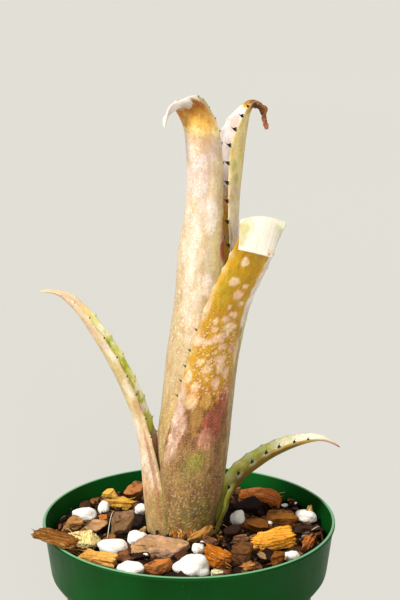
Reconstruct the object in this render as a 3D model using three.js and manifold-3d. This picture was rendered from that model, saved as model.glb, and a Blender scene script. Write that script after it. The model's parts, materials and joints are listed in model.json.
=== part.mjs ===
// A potted billbergia: a small tubular bromeliad with five leaves, in a green nursery pot that is
// filled with bark chips, husk and perlite. Millimetres, +Z up. The origin is the middle of the
// pot's flat underside, and the front of the plant looks along -Y.

import * as THREE from "three";
import { mergeVertices } from "three/addons/utils/BufferGeometryUtils.js";
import Module from "manifold-3d";

const wasm = await Module();
wasm.setup();

// Pot
const POT_HEIGHT = 90;
const RIM_RADIUS = 52;
const COLLAR_FOOT_RADIUS = 49.3;
const COLLAR_FOOT_Z = 72;
const BODY_TOP_RADIUS = 44.8;
const BODY_TOP_Z = 68;
const BASE_RADIUS = 36;
const WALL = 1.5;
const FLOOR = 1.8;
const POT_SEGMENTS = 40;
const SIDE_SLOTS = 8;
const SLOT_WIDTH = 2.5;
const SLOT_LENGTH = 26;
const SLOT_TOP_Z = 66;
const FIRST_SLOT_ANGLE = 21;
const FLOOR_HOLES = 6;
const FLOOR_HOLE_RADIUS = 3.5;
const FLOOR_HOLE_RING = 22;
const CUT_DEPTH = 12;

// Potting mix
const MIX_LEVEL = 84.6;
const MIX_DOME = 1.6;
const MIX_SLOPE = -0.024;
const MIX_RIPPLE = 0.7;
const BED_RINGS = [43, 35, 26, 17, 8];
const DARK_CHIPS = 20;
const DARK_CHIPS_INNER_RADIUS = 14;
const DARK_CHIPS_BAND = 30;
const GOLDEN_TURN = 2.4;

// Plant
const LEAF_FOOT_Z = 76;
const STEM_FOOT_Z = 62;
const BLADE_THICKNESS = 0.8;
const ROWS_PER_STATION = 2;
const THORN_WIDTH = 1.7;
const THORN_THICKNESS = 0.7;
const THORN_ROOT = 0.7;
const GAP = 0.35;

// Colours
const POT_GREEN = 0x0f5a2c;
const MIX_BROWN = 0x2a1a12;
const PERLITE_WHITE = 0xece9e0;
const STEM_BROWN = 0x7a5a38;

const UP = new THREE.Vector3(0, 0, 1);
const rad = THREE.MathUtils.degToRad;

// Repeatable random numbers between 0 and 1
function randomSource(seed) {
  let state = seed;
  return () => {
    state = (state + 0x6d2b79f5) | 0;
    let mixed = Math.imul(state ^ (state >>> 15), 1 | state);
    mixed = (mixed + Math.imul(mixed ^ (mixed >>> 7), 61 | mixed)) ^ mixed;
    return ((mixed ^ (mixed >>> 14)) >>> 0) / 4294967296;
  };
}

// A copy of a geometry with shared corners, and with the collapsed faces at a pole left out
function weld(geometry) {
  const bare = geometry.clone();
  bare.deleteAttribute("normal");
  bare.deleteAttribute("uv");
  const welded = mergeVertices(bare, 1e-4);
  const faces = [];
  for (let i = 0; i < welded.index.count; i += 3) {
    const [a, b, c] = [0, 1, 2].map((k) => welded.index.getX(i + k));
    if (a !== b && b !== c && c !== a) {
      faces.push(a, b, c);
    }
  }
  welded.setIndex(faces);
  return welded;
}

function toSolid(geometry) {
  const welded = weld(geometry);
  return new wasm.Manifold(new wasm.Mesh({
    numProp: 3,
    vertProperties: Float32Array.from(welded.attributes.position.array),
    triVerts: Uint32Array.from(welded.index.array),
  }));
}

// The largest connected body of a solid, so that a cut leaves no scraps
function largestBody(solid) {
  const bodies = solid.decompose();
  return bodies.reduce((best, body) => (body.volume() > best.volume() ? body : best));
}

function toGeometry(solid) {
  const mesh = solid.getMesh();
  const geometry = new THREE.BufferGeometry();
  geometry.setAttribute("position", new THREE.BufferAttribute(Float32Array.from(mesh.vertProperties), 3));
  geometry.setIndex(new THREE.BufferAttribute(Uint32Array.from(mesh.triVerts), 1));
  geometry.computeVertexNormals();
  return geometry;
}

function named(name, solid, color, roughness) {
  const material = new THREE.MeshStandardMaterial({ color, roughness, metalness: 0 });
  const mesh = new THREE.Mesh(toGeometry(solid), material);
  mesh.name = name;
  return mesh;
}

// A solid turned about the Z axis from a closed profile of [radius, z] points
function turned(profile, segments, shiftX = 0) {
  const points = profile.map(([radius, z]) => new THREE.Vector2(radius, z));
  const geometry = new THREE.LatheGeometry(points, segments);
  geometry.rotateX(Math.PI / 2);
  geometry.translate(shiftX, 0, 0);
  return geometry;
}

// The pot's inner wall as [radius, z] points from the floor up, drawn in by a margin
function innerWall(margin) {
  return [
    [BASE_RADIUS - WALL - 0.3 - margin, FLOOR + margin],
    [BODY_TOP_RADIUS - WALL - margin, BODY_TOP_Z + 0.6],
    [COLLAR_FOOT_RADIUS - WALL - 1.2 - margin, COLLAR_FOOT_Z - 1],
    [COLLAR_FOOT_RADIUS - WALL - margin, COLLAR_FOOT_Z + 0.8],
    [RIM_RADIUS - WALL - margin, POT_HEIGHT - 0.6],
  ];
}

function makePot() {
  const outside = [
    [0, 0],
    [BASE_RADIUS - 1.2, 0],
    [BASE_RADIUS, 1.2],
    [BODY_TOP_RADIUS, BODY_TOP_Z],
    [BODY_TOP_RADIUS + 1.8, BODY_TOP_Z + 0.4],
    [COLLAR_FOOT_RADIUS - 0.9, COLLAR_FOOT_Z - 2],
    [COLLAR_FOOT_RADIUS, COLLAR_FOOT_Z],
    [RIM_RADIUS - 0.5, POT_HEIGHT - 1.8],
    [RIM_RADIUS, POT_HEIGHT - 1.4],
    [RIM_RADIUS, POT_HEIGHT - 0.4],
    [RIM_RADIUS - 0.4, POT_HEIGHT],
    [RIM_RADIUS - WALL + 0.3, POT_HEIGHT],
  ];
  const inside = innerWall(0).reverse();
  let pot = toSolid(turned([...outside, ...inside, [0, FLOOR]], POT_SEGMENTS));
  for (let i = 0; i < SIDE_SLOTS; i += 1) {
    const cutter = new THREE.BoxGeometry(SLOT_WIDTH, CUT_DEPTH, SLOT_LENGTH);
    cutter.translate(0, -BODY_TOP_RADIUS + WALL, SLOT_TOP_Z - SLOT_LENGTH / 2);
    cutter.rotateZ(rad(FIRST_SLOT_ANGLE + (360 / SIDE_SLOTS) * i));
    pot = pot.subtract(toSolid(cutter));
  }
  for (let i = 0; i < FLOOR_HOLES; i += 1) {
    const cutter = new THREE.CylinderGeometry(FLOOR_HOLE_RADIUS, FLOOR_HOLE_RADIUS, CUT_DEPTH, 12);
    cutter.rotateX(Math.PI / 2);
    cutter.translate(FLOOR_HOLE_RING, 0, 0);
    cutter.rotateZ(rad((360 / FLOOR_HOLES) * i));
    pot = pot.subtract(toSolid(cutter));
  }
  return pot;
}

// Leaf blades. A station gives the midrib on the outer face, the way that face looks (degrees
// from the front, + to the right), the half width along the arc of the section, the cup (the
// arc's half angle, negative where the edges turn back) and a roll about the midrib. Its section
// is square to the midrib, or level (1) where the leaf is part of the tube.
function station(x, y, z, facing, halfWidth, cup, roll = 0, level = 0) {
  return [x, y, z, facing, halfWidth, cup, roll, level];
}

// A station where the leaf is part of the tube round an upright axis at axisX
function ring(z, axisX, radius, facing, wrap) {
  const x = axisX + radius * Math.sin(rad(facing));
  const y = -radius * Math.cos(rad(facing));
  return station(x, y, z, facing, radius * rad(wrap), wrap, 0, 1);
}

// One smooth curve through the stations, value by value
function along(stations, t) {
  const last = stations.length - 1;
  const i = Math.min(Math.floor(t), last - 1);
  const f = t - i;
  return stations[0].map((_, k) => {
    const b = stations[i][k];
    const c = stations[i + 1][k];
    const a = i > 0 ? stations[i - 1][k] : 2 * b - c;
    const d = i + 2 <= last ? stations[i + 2][k] : 2 * c - b;
    const slope = (c - a) * f;
    const bend = (2 * a - 5 * b + 4 * c - d) * f * f;
    const turn = (3 * b - a - 3 * c + d) * f ** 3;
    return 0.5 * (2 * b + slope + bend + turn);
  });
}

// The section at t: a function from v (-1 to 1 across the blade) and a depth below the outer face
function section(stations, t) {
  const step = 0.04;
  const [x, y, z, facing, halfWidth, cupDegrees, roll, level] = along(stations, t);
  const ahead = along(stations, Math.min(t + step, stations.length - 1));
  const behind = along(stations, Math.max(t - step, 0));
  const forward = new THREE.Vector3(...ahead.slice(0, 3)).sub(new THREE.Vector3(...behind.slice(0, 3)));
  forward.normalize().lerp(UP, THREE.MathUtils.clamp(level, 0, 1)).normalize();
  const side = new THREE.Vector3(Math.cos(rad(facing)), Math.sin(rad(facing)), 0);
  side.addScaledVector(forward, -side.dot(forward)).normalize();
  const face = new THREE.Vector3().crossVectors(side, forward);
  side.applyAxisAngle(forward, -rad(roll));
  face.applyAxisAngle(forward, -rad(roll));
  const cup = rad(Math.abs(cupDegrees) < 1.5 ? 1.5 : cupDegrees);
  const radius = halfWidth / cup;
  const at = (v, depth) => {
    const point = new THREE.Vector3(x, y, z);
    point.addScaledVector(face, (radius - depth) * Math.cos(cup * v) - radius);
    point.addScaledVector(side, (radius - depth) * Math.sin(cup * v));
    return point;
  };
  return { at, forward };
}

// The closed blade between an outer and an inner depth
function bladeGeometry(stations, columns, outer = 0, inner = BLADE_THICKNESS) {
  const rows = (stations.length - 1) * ROWS_PER_STATION;
  const points = [];
  for (const depth of [outer, inner]) {
    for (let r = 0; r <= rows; r += 1) {
      const { at } = section(stations, r / ROWS_PER_STATION);
      for (let c = 0; c <= columns; c += 1) {
        points.push(...at((2 * c) / columns - 1, depth).toArray());
      }
    }
  }
  const layer = (rows + 1) * (columns + 1);
  const outerAt = (r, c) => r * (columns + 1) + c;
  const innerAt = (r, c) => layer + outerAt(r, c);
  const faces = [];
  const quad = (a, b, c, d) => faces.push(a, b, c, a, c, d);
  for (let r = 0; r < rows; r += 1) {
    for (let c = 0; c < columns; c += 1) {
      quad(outerAt(r, c), outerAt(r, c + 1), outerAt(r + 1, c + 1), outerAt(r + 1, c));
      quad(innerAt(r, c + 1), innerAt(r, c), innerAt(r + 1, c), innerAt(r + 1, c + 1));
    }
    quad(innerAt(r, 0), outerAt(r, 0), outerAt(r + 1, 0), innerAt(r + 1, 0));
    quad(outerAt(r, columns), innerAt(r, columns), innerAt(r + 1, columns), outerAt(r + 1, columns));
  }
  for (let c = 0; c < columns; c += 1) {
    quad(innerAt(0, c), innerAt(0, c + 1), outerAt(0, c + 1), outerAt(0, c));
    quad(outerAt(rows, c), outerAt(rows, c + 1), innerAt(rows, c + 1), innerAt(rows, c));
  }
  const geometry = new THREE.BufferGeometry();
  geometry.setAttribute("position", new THREE.Float32BufferAttribute(points, 3));
  geometry.setIndex(faces);
  return geometry;
}

// A three-sided thorn that stands out of the margin and leans towards the tip
function thornGeometry(root, out, forward, length) {
  const across = new THREE.Vector3().crossVectors(out, forward).normalize();
  const corner = (f, a, o) => root.clone()
    .addScaledVector(forward, f)
    .addScaledVector(across, a)
    .addScaledVector(out, o)
    .toArray();
  const points = [
    ...corner(THORN_WIDTH / 2, 0, -THORN_ROOT),
    ...corner(-THORN_WIDTH / 2, THORN_THICKNESS / 2, -THORN_ROOT),
    ...corner(-THORN_WIDTH / 2, -THORN_THICKNESS / 2, -THORN_ROOT),
    ...corner(length * 0.75, 0, length),
  ];
  const geometry = new THREE.BufferGeometry();
  geometry.setAttribute("position", new THREE.Float32BufferAttribute(points, 3));
  geometry.setIndex([0, 2, 1, 1, 3, 0, 2, 3, 1, 0, 3, 2]);
  return geometry;
}

// Thorns along both margins, evenly spaced from one station to another
function thorns(leaf) {
  const samples = 12;
  const made = [];
  for (const v of [-1, 1]) {
    let since = leaf.thornSpacing / 2;
    let before = null;
    for (let i = leaf.thornsFrom * samples; i <= leaf.thornsTo * samples; i += 1) {
      const { at, forward } = section(leaf.stations, i / samples);
      const edge = at(v, BLADE_THICKNESS / 2);
      since += before ? edge.distanceTo(before) : 0;
      before = edge;
      if (since >= leaf.thornSpacing) {
        const out = edge.clone().sub(at(v * 0.94, BLADE_THICKNESS / 2)).normalize();
        made.push(toSolid(thornGeometry(edge, out, forward, leaf.thornLength)));
        since = 0;
      }
    }
  }
  return made;
}

function makeLeaf(leaf) {
  const blade = toSolid(bladeGeometry(leaf.stations, leaf.columns));
  return thorns(leaf).reduce((whole, thorn) => whole.add(thorn), blade);
}

const LEAVES = [
  {
    name: "leaf_tall_left",
    color: 0xd8c9a8,
    columns: 10,
    thornsFrom: 6,
    thornsTo: 12,
    thornSpacing: 4.2,
    thornLength: 1.3,
    stations: [
      ring(LEAF_FOOT_Z, -0.3, 7.6, -60, 150),
      ring(90, -0.2, 8.3, -60, 148),
      ring(100, 0.3, 10.15, -60, 140),
      ring(117, 0.75, 12, -60, 130),
      ring(134, 2.45, 11.9, -60, 125),
      ring(152, 4.35, 11.9, -60, 118),
      ring(170, 5.3, 10.2, -60, 113),
      ring(188, 5.3, 8.8, -60, 111),
      ring(205, 6.3, 7.2, -60, 113),
      ring(222, 6.1, 6.9, -60, 113),
      ring(230, 5.2, 6.9, -61, 108),
      station(-1, -4, 235.4, -54, 9.8, 92, -14),
      station(-2.8, -5.4, 237, -54, 5.2, 72, -4),
      station(-5.2, -6.9, 236.2, -62, 3.1, 54, 2),
      station(-7, -8.2, 233.9, -70, 1.7, 34, 4),
      station(-7.3, -9, 231.2, -75, 0.6, 15),
    ],
  },
  {
    name: "leaf_tall_right",
    color: 0xcfc6a4,
    columns: 10,
    thornsFrom: 6,
    thornsTo: 11,
    thornSpacing: 5.6,
    thornLength: 1.7,
    stations: [
      ring(LEAF_FOOT_Z, -0.3, 6.3, 110, 140),
      ring(90, -0.2, 6.95, 110, 135),
      ring(100, 0.3, 8.75, 110, 120),
      ring(117, 0.75, 10.65, 110, 100),
      ring(134, 2.5, 10.6, 114, 80),
      ring(152, 4.8, 10.2, 118, 61),
      ring(170, 7, 9.5, 118, 62),
      ring(188, 8.9, 8.2, 112, 70),
      ring(205, 10.4, 7, 110, 82),
      ring(222, 12.2, 6.8, 110, 94),
      ring(229, 13.3, 6.5, 108, 86),
      ring(234.6, 14.9, 5.8, 106, 66),
      station(22.1, 1.6, 236.7, 100, 2.7, 56),
      station(24.2, 0.8, 235.3, 100, 2.8, 100),
      station(25.1, 0, 231.9, 100, 1.3, 60),
      station(26, -1, 228.8, 100, 0.5, 10),
    ],
  },
  {
    name: "leaf_front",
    color: 0xa98a3c,
    columns: 10,
    thornsFrom: 4,
    thornsTo: 9,
    thornSpacing: 6.4,
    thornLength: 1.4,
    stations: [
      ring(LEAF_FOOT_Z, -0.3, 8.9, 32, 135),
      ring(90, -0.3, 9.7, 32, 122),
      ring(100, 0.45, 11.4, 32, 108),
      ring(117, 0.8, 13.25, 32, 82),
      ring(134, 2.5, 13.15, 32, 66),
      ring(152, 4.6, 13.3, 32, 53),
      station(15.2, -13.4, 170.3, 27, 9.6, 42),
      station(21.1, -16, 186.4, 20, 8.2, 32),
      station(24.3, -18.5, 196.2, 14, 7.3, 22),
      station(24.4, -20.6, 201.8, 12, 7.5, -10, 3),
      station(24.5, -24, 203.8, 10, 7.5, -42, 6),
      station(23.6, -27.5, 200.9, 10, 6.7, -30, 2),
      station(21.8, -30.5, 193.7, 10, 5.5, -16, -4),
    ],
  },
  {
    name: "leaf_low_left",
    color: 0xb9a77e,
    columns: 8,
    thornsFrom: 4,
    thornsTo: 11,
    thornSpacing: 7.6,
    thornLength: 1.5,
    stations: [
      station(-13.6, 0.4, LEAF_FOOT_Z, -92, 9, 88),
      station(-15.3, 0.4, 88, -92, 9.3, 86),
      station(-16.3, 0.3, 100.6, -93, 9.3, 86),
      station(-16.9, 0.3, 109.7, -94, 9, 88),
      station(-17.9, 0.4, 119, -96, 8.6, 90),
      station(-20.1, 0.6, 128.6, -97, 8, 92),
      station(-24, 0.9, 138.8, -98, 7.5, 94),
      station(-28.5, 1.3, 148.2, -98, 7.1, 94),
      station(-33.6, 1.8, 157.1, -99, 6.2, 92),
      station(-38.7, 2.4, 164.9, -100, 4.9, 88),
      station(-43.8, 3, 170.1, -101, 3, 70),
      station(-48, 3.5, 171.8, -102, 1.5, 40),
      station(-51.5, 4, 171.8, -102, 0.6, 20),
    ],
  },
  {
    name: "leaf_low_right",
    color: 0x9aa35c,
    columns: 8,
    thornsFrom: 4,
    thornsTo: 10,
    thornSpacing: 5.6,
    thornLength: 1.4,
    stations: [
      station(9.6, 1.6, LEAF_FOOT_Z, 98, 6, 34),
      station(10.8, 1.7, 86, 98, 7, 38),
      station(13.8, 2, 93.5, 98, 7.6, 42),
      station(14.6, 2.4, 96.8, 99, 7.5, 52),
      station(16.6, 3, 100.1, 101, 7.3, 68),
      station(20.3, 3.6, 104.3, 103, 7.1, 82),
      station(25, 4.2, 108, 105, 6.8, 88),
      station(29.9, 4.8, 111.2, 106, 6.1, 88),
      station(35.6, 5.3, 114, 107, 5.2, 82),
      station(41.3, 5.7, 116, 108, 4.1, 68),
      station(46.3, 6, 116.8, 109, 2.8, 48),
      station(50.3, 6.2, 115.8, 110, 1.5, 32),
      station(53.5, 6.3, 113.9, 110, 0.6, 20),
    ],
  },
];

// The short rootstock inside the tube of leaves, which the innermost leaf sits round
function makeStem() {
  return toSolid(turned([
    [0, STEM_FOOT_Z],
    [3.5, STEM_FOOT_Z + 0.8],
    [7.8, STEM_FOOT_Z + 5],
    [8.4, LEAF_FOOT_Z - 4],
    [7.2, LEAF_FOOT_Z - GAP],
    [5, LEAF_FOOT_Z - GAP],
    [5.1, LEAF_FOOT_Z + 8],
    [4.2, LEAF_FOOT_Z + 15],
    [2, LEAF_FOOT_Z + 19],
    [0, LEAF_FOOT_Z + 20],
  ], 16, -0.25));
}

// The room that the plant needs in the mix: the tube, the rootstock and the two outer sheaths
function plantRoom() {
  const room = toSolid(turned([
    [0, STEM_FOOT_Z - GAP],
    [3.7, STEM_FOOT_Z + 0.8 - GAP],
    [8.2, STEM_FOOT_Z + 5 - GAP],
    [9.3, LEAF_FOOT_Z - GAP],
    [10.25, 90],
    [12.1, 101],
    [0, 101],
  ], 24, -0.1));
  const outerSheath = (index, scale) => {
    const stations = LEAVES[index].stations.slice(0, 3).map((s) => [...s]);
    stations[0][2] -= GAP;
    stations.forEach((s) => {
      s[4] *= scale;
      s[5] *= scale;
    });
    return toSolid(bladeGeometry(stations, 10, -GAP - 0.1, 3.4));
  };
  return room.add(outerSheath(3, 1.08)).add(outerSheath(4, 1.1));
}

function mixLevel(x, y) {
  const dome = MIX_DOME * Math.exp(-(x * x + y * y) / 480);
  const ripple = MIX_RIPPLE * Math.sin(x * 0.31 + 1.1) * Math.cos(y * 0.27 - 0.4);
  return MIX_LEVEL + dome + MIX_SLOPE * y + ripple;
}

// A flat bark chip with worn, uneven edges, long along X
function chipGeometry(length, width, thickness, seed, cuts = [3, 2, 1]) {
  const random = randomSource(seed);
  const chip = weld(new THREE.BoxGeometry(1, 1, 1, ...cuts));
  const position = chip.attributes.position;
  for (let i = 0; i < position.count; i += 1) {
    const [x, y, z] = [position.getX(i), position.getY(i), position.getZ(i)];
    const worn = z > 0 ? 0.84 : 0.92;
    const blunt = 1 - 0.5 * Math.abs(x) * Math.abs(y);
    position.setXYZ(
      i,
      length * (x * worn + 0.12 * (random() - 0.5)),
      width * (y * worn * blunt + 0.14 * (random() - 0.5)),
      thickness * (z + 0.26 * (random() - 0.5)),
    );
  }
  return chip;
}

// A puffed, lumpy grain of perlite
function perliteGeometry(length, width, height, seed) {
  const random = randomSource(seed);
  const phases = [random() * 6, random() * 6, random() * 6];
  const grain = weld(new THREE.IcosahedronGeometry(0.5, 1));
  const position = grain.attributes.position;
  for (let i = 0; i < position.count; i += 1) {
    const point = new THREE.Vector3().fromBufferAttribute(position, i);
    const lump = Math.sin(6 * point.x + phases[0]) * Math.cos(7 * point.y + phases[1]);
    const dent = Math.sin(8 * point.z + phases[2]);
    const size = 1 + 0.14 * lump + 0.08 * dent + 0.08 * (random() - 0.5);
    position.setXYZ(i, point.x * length * size, point.y * width * size, point.z * height * size);
  }
  return grain;
}

// A loose piece of the mix. turn is about Z, rise lifts the +X end, bank lifts the far side.
function loose(name, x, y, lift, size, turn, rise, bank, color) {
  return { name, x, y, lift, size, turn, rise, bank, color };
}

const TAN = 0xc08a45;
const ORANGE = 0xb5652a;
const PINK_BROWN = 0x8a6350;
const DARK_BARK = 0x4a3126;
const GREY_BROWN = 0x6b5549;
const CREAM = 0xd9c49a;

const BARK = [
  loose("husk_over_rim", -45.6, -24.6, 7.55, [18.5, 7.4, 3.4], -24, -4, 4, 0x6e3f1d),
  loose("bark_left_end", -42, 0.6, 1.8, [8.4, 7, 5.2], 40, 8, 10, 0x8d5c38),
  loose("bark_tan_back_left", -30, 32, 1.8, [7.4, 5.6, 4.4], -8, 6, 12, TAN),
  loose("bark_fibrous_back_left", -25.1, 24.6, 1.7, [11.4, 5.6, 4.4], 6, -2, 14, 0xc08d42),
  loose("bark_pink_back_left", -20.6, 36.6, 2.2, [10, 6, 5], 30, 14, 10, 0xa0683f),
  loose("bark_upright_grey", -23.5, -2, 3.2, [8.8, 3.8, 9.4], 10, -2, -26, GREY_BROWN),
  loose("bark_flat_pink_left", -34, 1, 1.1, [10.6, 8, 3], -8, 4, 12, PINK_BROWN),
  loose("husk_cream_left", -37, -13.8, 2.1, [13.2, 8, 5], -12, 2, 26, CREAM),
  loose("bark_tan_front_left", -31, -30, 1.8, [15, 5.2, 3.6], -22, -3, 14, 0xd09c4e),
  loose("bark_brown_front_left", -21.8, -27.6, 1.5, [5.6, 5.2, 4.6], 20, 4, 10, 0x7c5238),
  loose("bark_flat_pink_front", -9.9, -21.4, 2.2, [21, 10, 3.6], -6, -2, 22, PINK_BROWN),
  loose("bark_orange_front", -10.1, -38.2, 1.8, [10.6, 5.4, 4.2], 10, 4, 12, 0xb2743c),
  loose("bark_by_tube", 4.2, -13.6, 3.4, [11.6, 5, 4.2], 18, 16, 16, 0x9c763c),
  loose("husk_orange_front", 9.8, -33.6, 3, [10.4, 6.6, 7.4], -26, -16, 14, ORANGE),
  loose("bark_dark_front", 18, -26.4, 2.2, [8.2, 7.2, 5.6], -24, 4, 12, 0x6c4a32),
  loose("husk_yellow_block", 29.2, -16.6, 3, [15.6, 7, 7.4], 8, 5, 12, 0xd09638),
  loose("bark_brown_right_front", 30.2, -31.2, 1.8, [5.8, 4.6, 4.6], 24, 10, 10, 0x8a5c34),
  loose("bark_brown_diagonal", 23.9, -0.8, 1.8, [12.8, 5.4, 4], -28, -4, 16, 0x855a30),
  loose("bark_dark_by_tube", 15.8, -8.4, 1.7, [7.6, 5, 4.2], 26, 6, 12, DARK_BARK),
  loose("bark_dark_back_right", 21.2, 20.6, 1.5, [12.4, 7, 4.4], -6, 4, 12, 0x3c2620),
  loose("bark_orange_back_right", 27.4, 29, 2.4, [16, 6.6, 6], -14, 6, 12, 0xb8642c),
  loose("bark_brown_right", 33.6, 7.4, 2.1, [12.6, 7, 5.2], -6, -3, 14, 0x86603a),
  loose("bark_thin_right", 42, -3, 1.5, [9.8, 3.6, 3], -12, -4, 10, 0x4a2c20),
  loose("husk_orange_right", 41.8, -15.4, 1.9, [5.8, 4, 4.4], 62, 14, 10, 0xb4562a),
  loose("bark_back_middle", 4.6, 31.6, 1.8, [14, 7, 4.6], 34, 5, -10, 0x7f5638),
  loose("bark_back_wall", -2, 42, 1.4, [12, 6, 4], -6, 4, -8, 0x96663e),
];

const PERLITE = [
  loose("perlite_left_back", -38.4, 14.6, 1.8, [9.6, 6.8, 6], -6, 0, 0),
  loose("perlite_left_small", -31.6, 19.2, 1.8, [4.2, 4.4, 5], 0, 0, 0),
  loose("perlite_behind_low_leaf", -17.8, 17.6, 1.6, [4.6, 4.2, 4.4], 0, 0, 0),
  loose("perlite_front_left", -26.2, -19.6, 2, [11, 6.4, 5.6], -14, 0, 0),
  loose("perlite_front_left_inner", -17.6, -12.6, 2.2, [8.4, 6.2, 5.4], 28, 0, 0),
  loose("perlite_front_rim", -19.1, -40, 1.8, [9.6, 6.2, 5.6], -12, 0, 0),
  loose("perlite_front_big", 0.9, -38.4, 2.8, [12.6, 9, 9], 0, 0, 0),
  loose("perlite_front_small", 3.4, -24.4, 2.2, [4.6, 4, 4.2], 0, 0, 0),
  loose("perlite_right_front", 35.3, -28.6, 1.8, [5.2, 4.8, 4.4], 0, 0, 0),
  loose("perlite_right_tube", 17.4, 4.6, 2.4, [5.4, 5, 6], 0, 0, 0),
  loose("perlite_right", 42, 11.6, 1.8, [9.2, 5.6, 5], -38, 0, 0),
  loose("perlite_back", 13.4, 39.6, 1.6, [8, 6.4, 5.6], 30, 0, 0),
  loose("perlite_back_left", -9, 26.4, 1.6, [7, 6, 5], 60, 0, 0),
];

// A small chip that is part of the bed, with fewer faces
function bedChipGeometry(length, width, thickness, seed) {
  return chipGeometry(length, width, thickness, seed, [2, 1, 1]);
}

// The plain box that such a chip fits in
function boxGeometry(length, width, thickness) {
  return new THREE.BoxGeometry(length * 1.05, width * 1.06, thickness * 1.26);
}

// A loose piece where it lies, at its own size or grown all round by a margin
function looseSolid(make, piece, seed, margin = 0) {
  const [length, width, height] = piece.size.map((size) => size + 2 * margin);
  const geometry = make(length, width, height, seed);
  geometry.rotateX(rad(piece.bank));
  geometry.rotateY(-rad(piece.rise));
  geometry.rotateZ(rad(piece.turn));
  geometry.translate(piece.x, piece.y, mixLevel(piece.x, piece.y) + piece.lift);
  return toSolid(geometry);
}

// The bed of fine dark mix, with bark chips that are part of it
function makeBed(insidePot) {
  const brim = COLLAR_FOOT_RADIUS - WALL - GAP + 1;
  const bed = turned([
    [0, FLOOR + GAP],
    ...innerWall(GAP).slice(0, 4),
    [brim, MIX_LEVEL],
    ...BED_RINGS.map((radius) => [radius, MIX_LEVEL]),
    [0, MIX_LEVEL],
  ], POT_SEGMENTS);
  const position = bed.attributes.position;
  for (let i = 0; i < position.count; i += 1) {
    if (Math.abs(position.getZ(i) - MIX_LEVEL) < 0.01) {
      position.setZ(i, mixLevel(position.getX(i), position.getY(i)));
    }
  }
  const random = randomSource(11);
  const chips = [];
  for (let i = 0; i < DARK_CHIPS; i += 1) {
    const radius = DARK_CHIPS_INNER_RADIUS + DARK_CHIPS_BAND * Math.sqrt((i + 0.5) / DARK_CHIPS);
    const angle = GOLDEN_TURN * i;
    const size = [8 + 5 * random(), 5 + 2.5 * random(), 3.4 + 1.4 * random()];
    const turn = 360 * random();
    const rise = 30 * (random() - 0.5);
    const bank = 30 * (random() - 0.5);
    const x = radius * Math.cos(angle);
    const y = radius * Math.sin(angle);
    const piece = loose("", x, y, 0.5, size, turn, rise, bank);
    chips.push(looseSolid(bedChipGeometry, piece, 100 + i));
  }
  const inside = wasm.Manifold.union(chips).intersect(insidePot);
  return toSolid(bed).add(inside);
}

const billbergia = new THREE.Group();
billbergia.add(named("pot", makePot(), POT_GREEN, 0.4));
billbergia.add(named("stem_base", makeStem(), STEM_BROWN, 0.9));
for (const leaf of LEAVES) {
  billbergia.add(named(leaf.name, makeLeaf(leaf), leaf.color, 0.6));
}

// Loose pieces lie in the pot, clear of the plant and of the pieces laid before them
const insidePot = toSolid(turned([
  [0, FLOOR + GAP],
  ...innerWall(GAP),
  [RIM_RADIUS - WALL - GAP, 2 * POT_HEIGHT],
  [0, 2 * POT_HEIGHT],
], POT_SEGMENTS));
const room = plantRoom();
let taken = room;
const pieces = [
  ...PERLITE.map((piece, i) => [perliteGeometry, perliteGeometry, piece, 40 + i]),
  ...BARK.map((piece, i) => [chipGeometry, boxGeometry, piece, 70 + i]),
];
for (const [make, makePocket, piece, seed] of pieces) {
  let solid = looseSolid(make, piece, seed).subtract(taken);
  if (piece.name !== "husk_over_rim") {
    solid = solid.intersect(insidePot);
  }
  taken = taken.add(looseSolid(makePocket, piece, seed, GAP));
  billbergia.add(named(piece.name, largestBody(solid), piece.color ?? PERLITE_WHITE, 0.9));
}

const bed = largestBody(makeBed(insidePot).subtract(taken));
billbergia.add(named("potting_mix", bed, MIX_BROWN, 0.95));

export default billbergia;
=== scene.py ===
"""Looks of a potted billbergia: a tube of mottled, toothed leaves in a green nursery pot of bark mix.

The frame's solids give every size and place. This script dresses them with fine blades, hooked
thorns, fibrous bark and husk, puffed perlite and a moulded pot, in metres, with +Z up.
"""

import json
import math
import random

import bmesh
import bpy
from mathutils import Matrix, Vector, noise


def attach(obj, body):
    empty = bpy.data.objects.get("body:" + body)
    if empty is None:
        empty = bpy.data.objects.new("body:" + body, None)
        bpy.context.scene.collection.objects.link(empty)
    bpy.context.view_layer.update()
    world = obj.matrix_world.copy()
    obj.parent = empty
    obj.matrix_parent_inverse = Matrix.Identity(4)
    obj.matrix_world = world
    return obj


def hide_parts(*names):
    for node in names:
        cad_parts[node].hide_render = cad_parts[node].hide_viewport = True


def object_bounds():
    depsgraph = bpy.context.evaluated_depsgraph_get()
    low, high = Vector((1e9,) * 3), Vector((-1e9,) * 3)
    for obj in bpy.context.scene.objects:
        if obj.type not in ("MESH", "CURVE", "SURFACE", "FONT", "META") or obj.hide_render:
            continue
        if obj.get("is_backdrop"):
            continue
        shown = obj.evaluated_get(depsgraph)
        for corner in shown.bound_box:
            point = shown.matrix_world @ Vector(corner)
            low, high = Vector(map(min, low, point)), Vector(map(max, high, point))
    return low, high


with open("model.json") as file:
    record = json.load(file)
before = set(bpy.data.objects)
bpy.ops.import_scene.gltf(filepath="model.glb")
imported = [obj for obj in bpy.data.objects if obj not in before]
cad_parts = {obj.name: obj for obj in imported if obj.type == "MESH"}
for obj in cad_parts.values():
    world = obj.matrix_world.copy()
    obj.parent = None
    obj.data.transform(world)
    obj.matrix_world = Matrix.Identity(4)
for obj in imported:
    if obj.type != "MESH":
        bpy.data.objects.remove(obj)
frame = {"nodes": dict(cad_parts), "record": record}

CAD_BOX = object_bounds()
SLOT_OF = {part["node"]: part["material_slot"] for part in frame["record"]["subparts"]}

# The part is in millimetres and its meshes are scaled to metres as they are made. The stage is in
# metres from the start.
MM = 0.001
UP = Vector((0, 0, 1))

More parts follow.
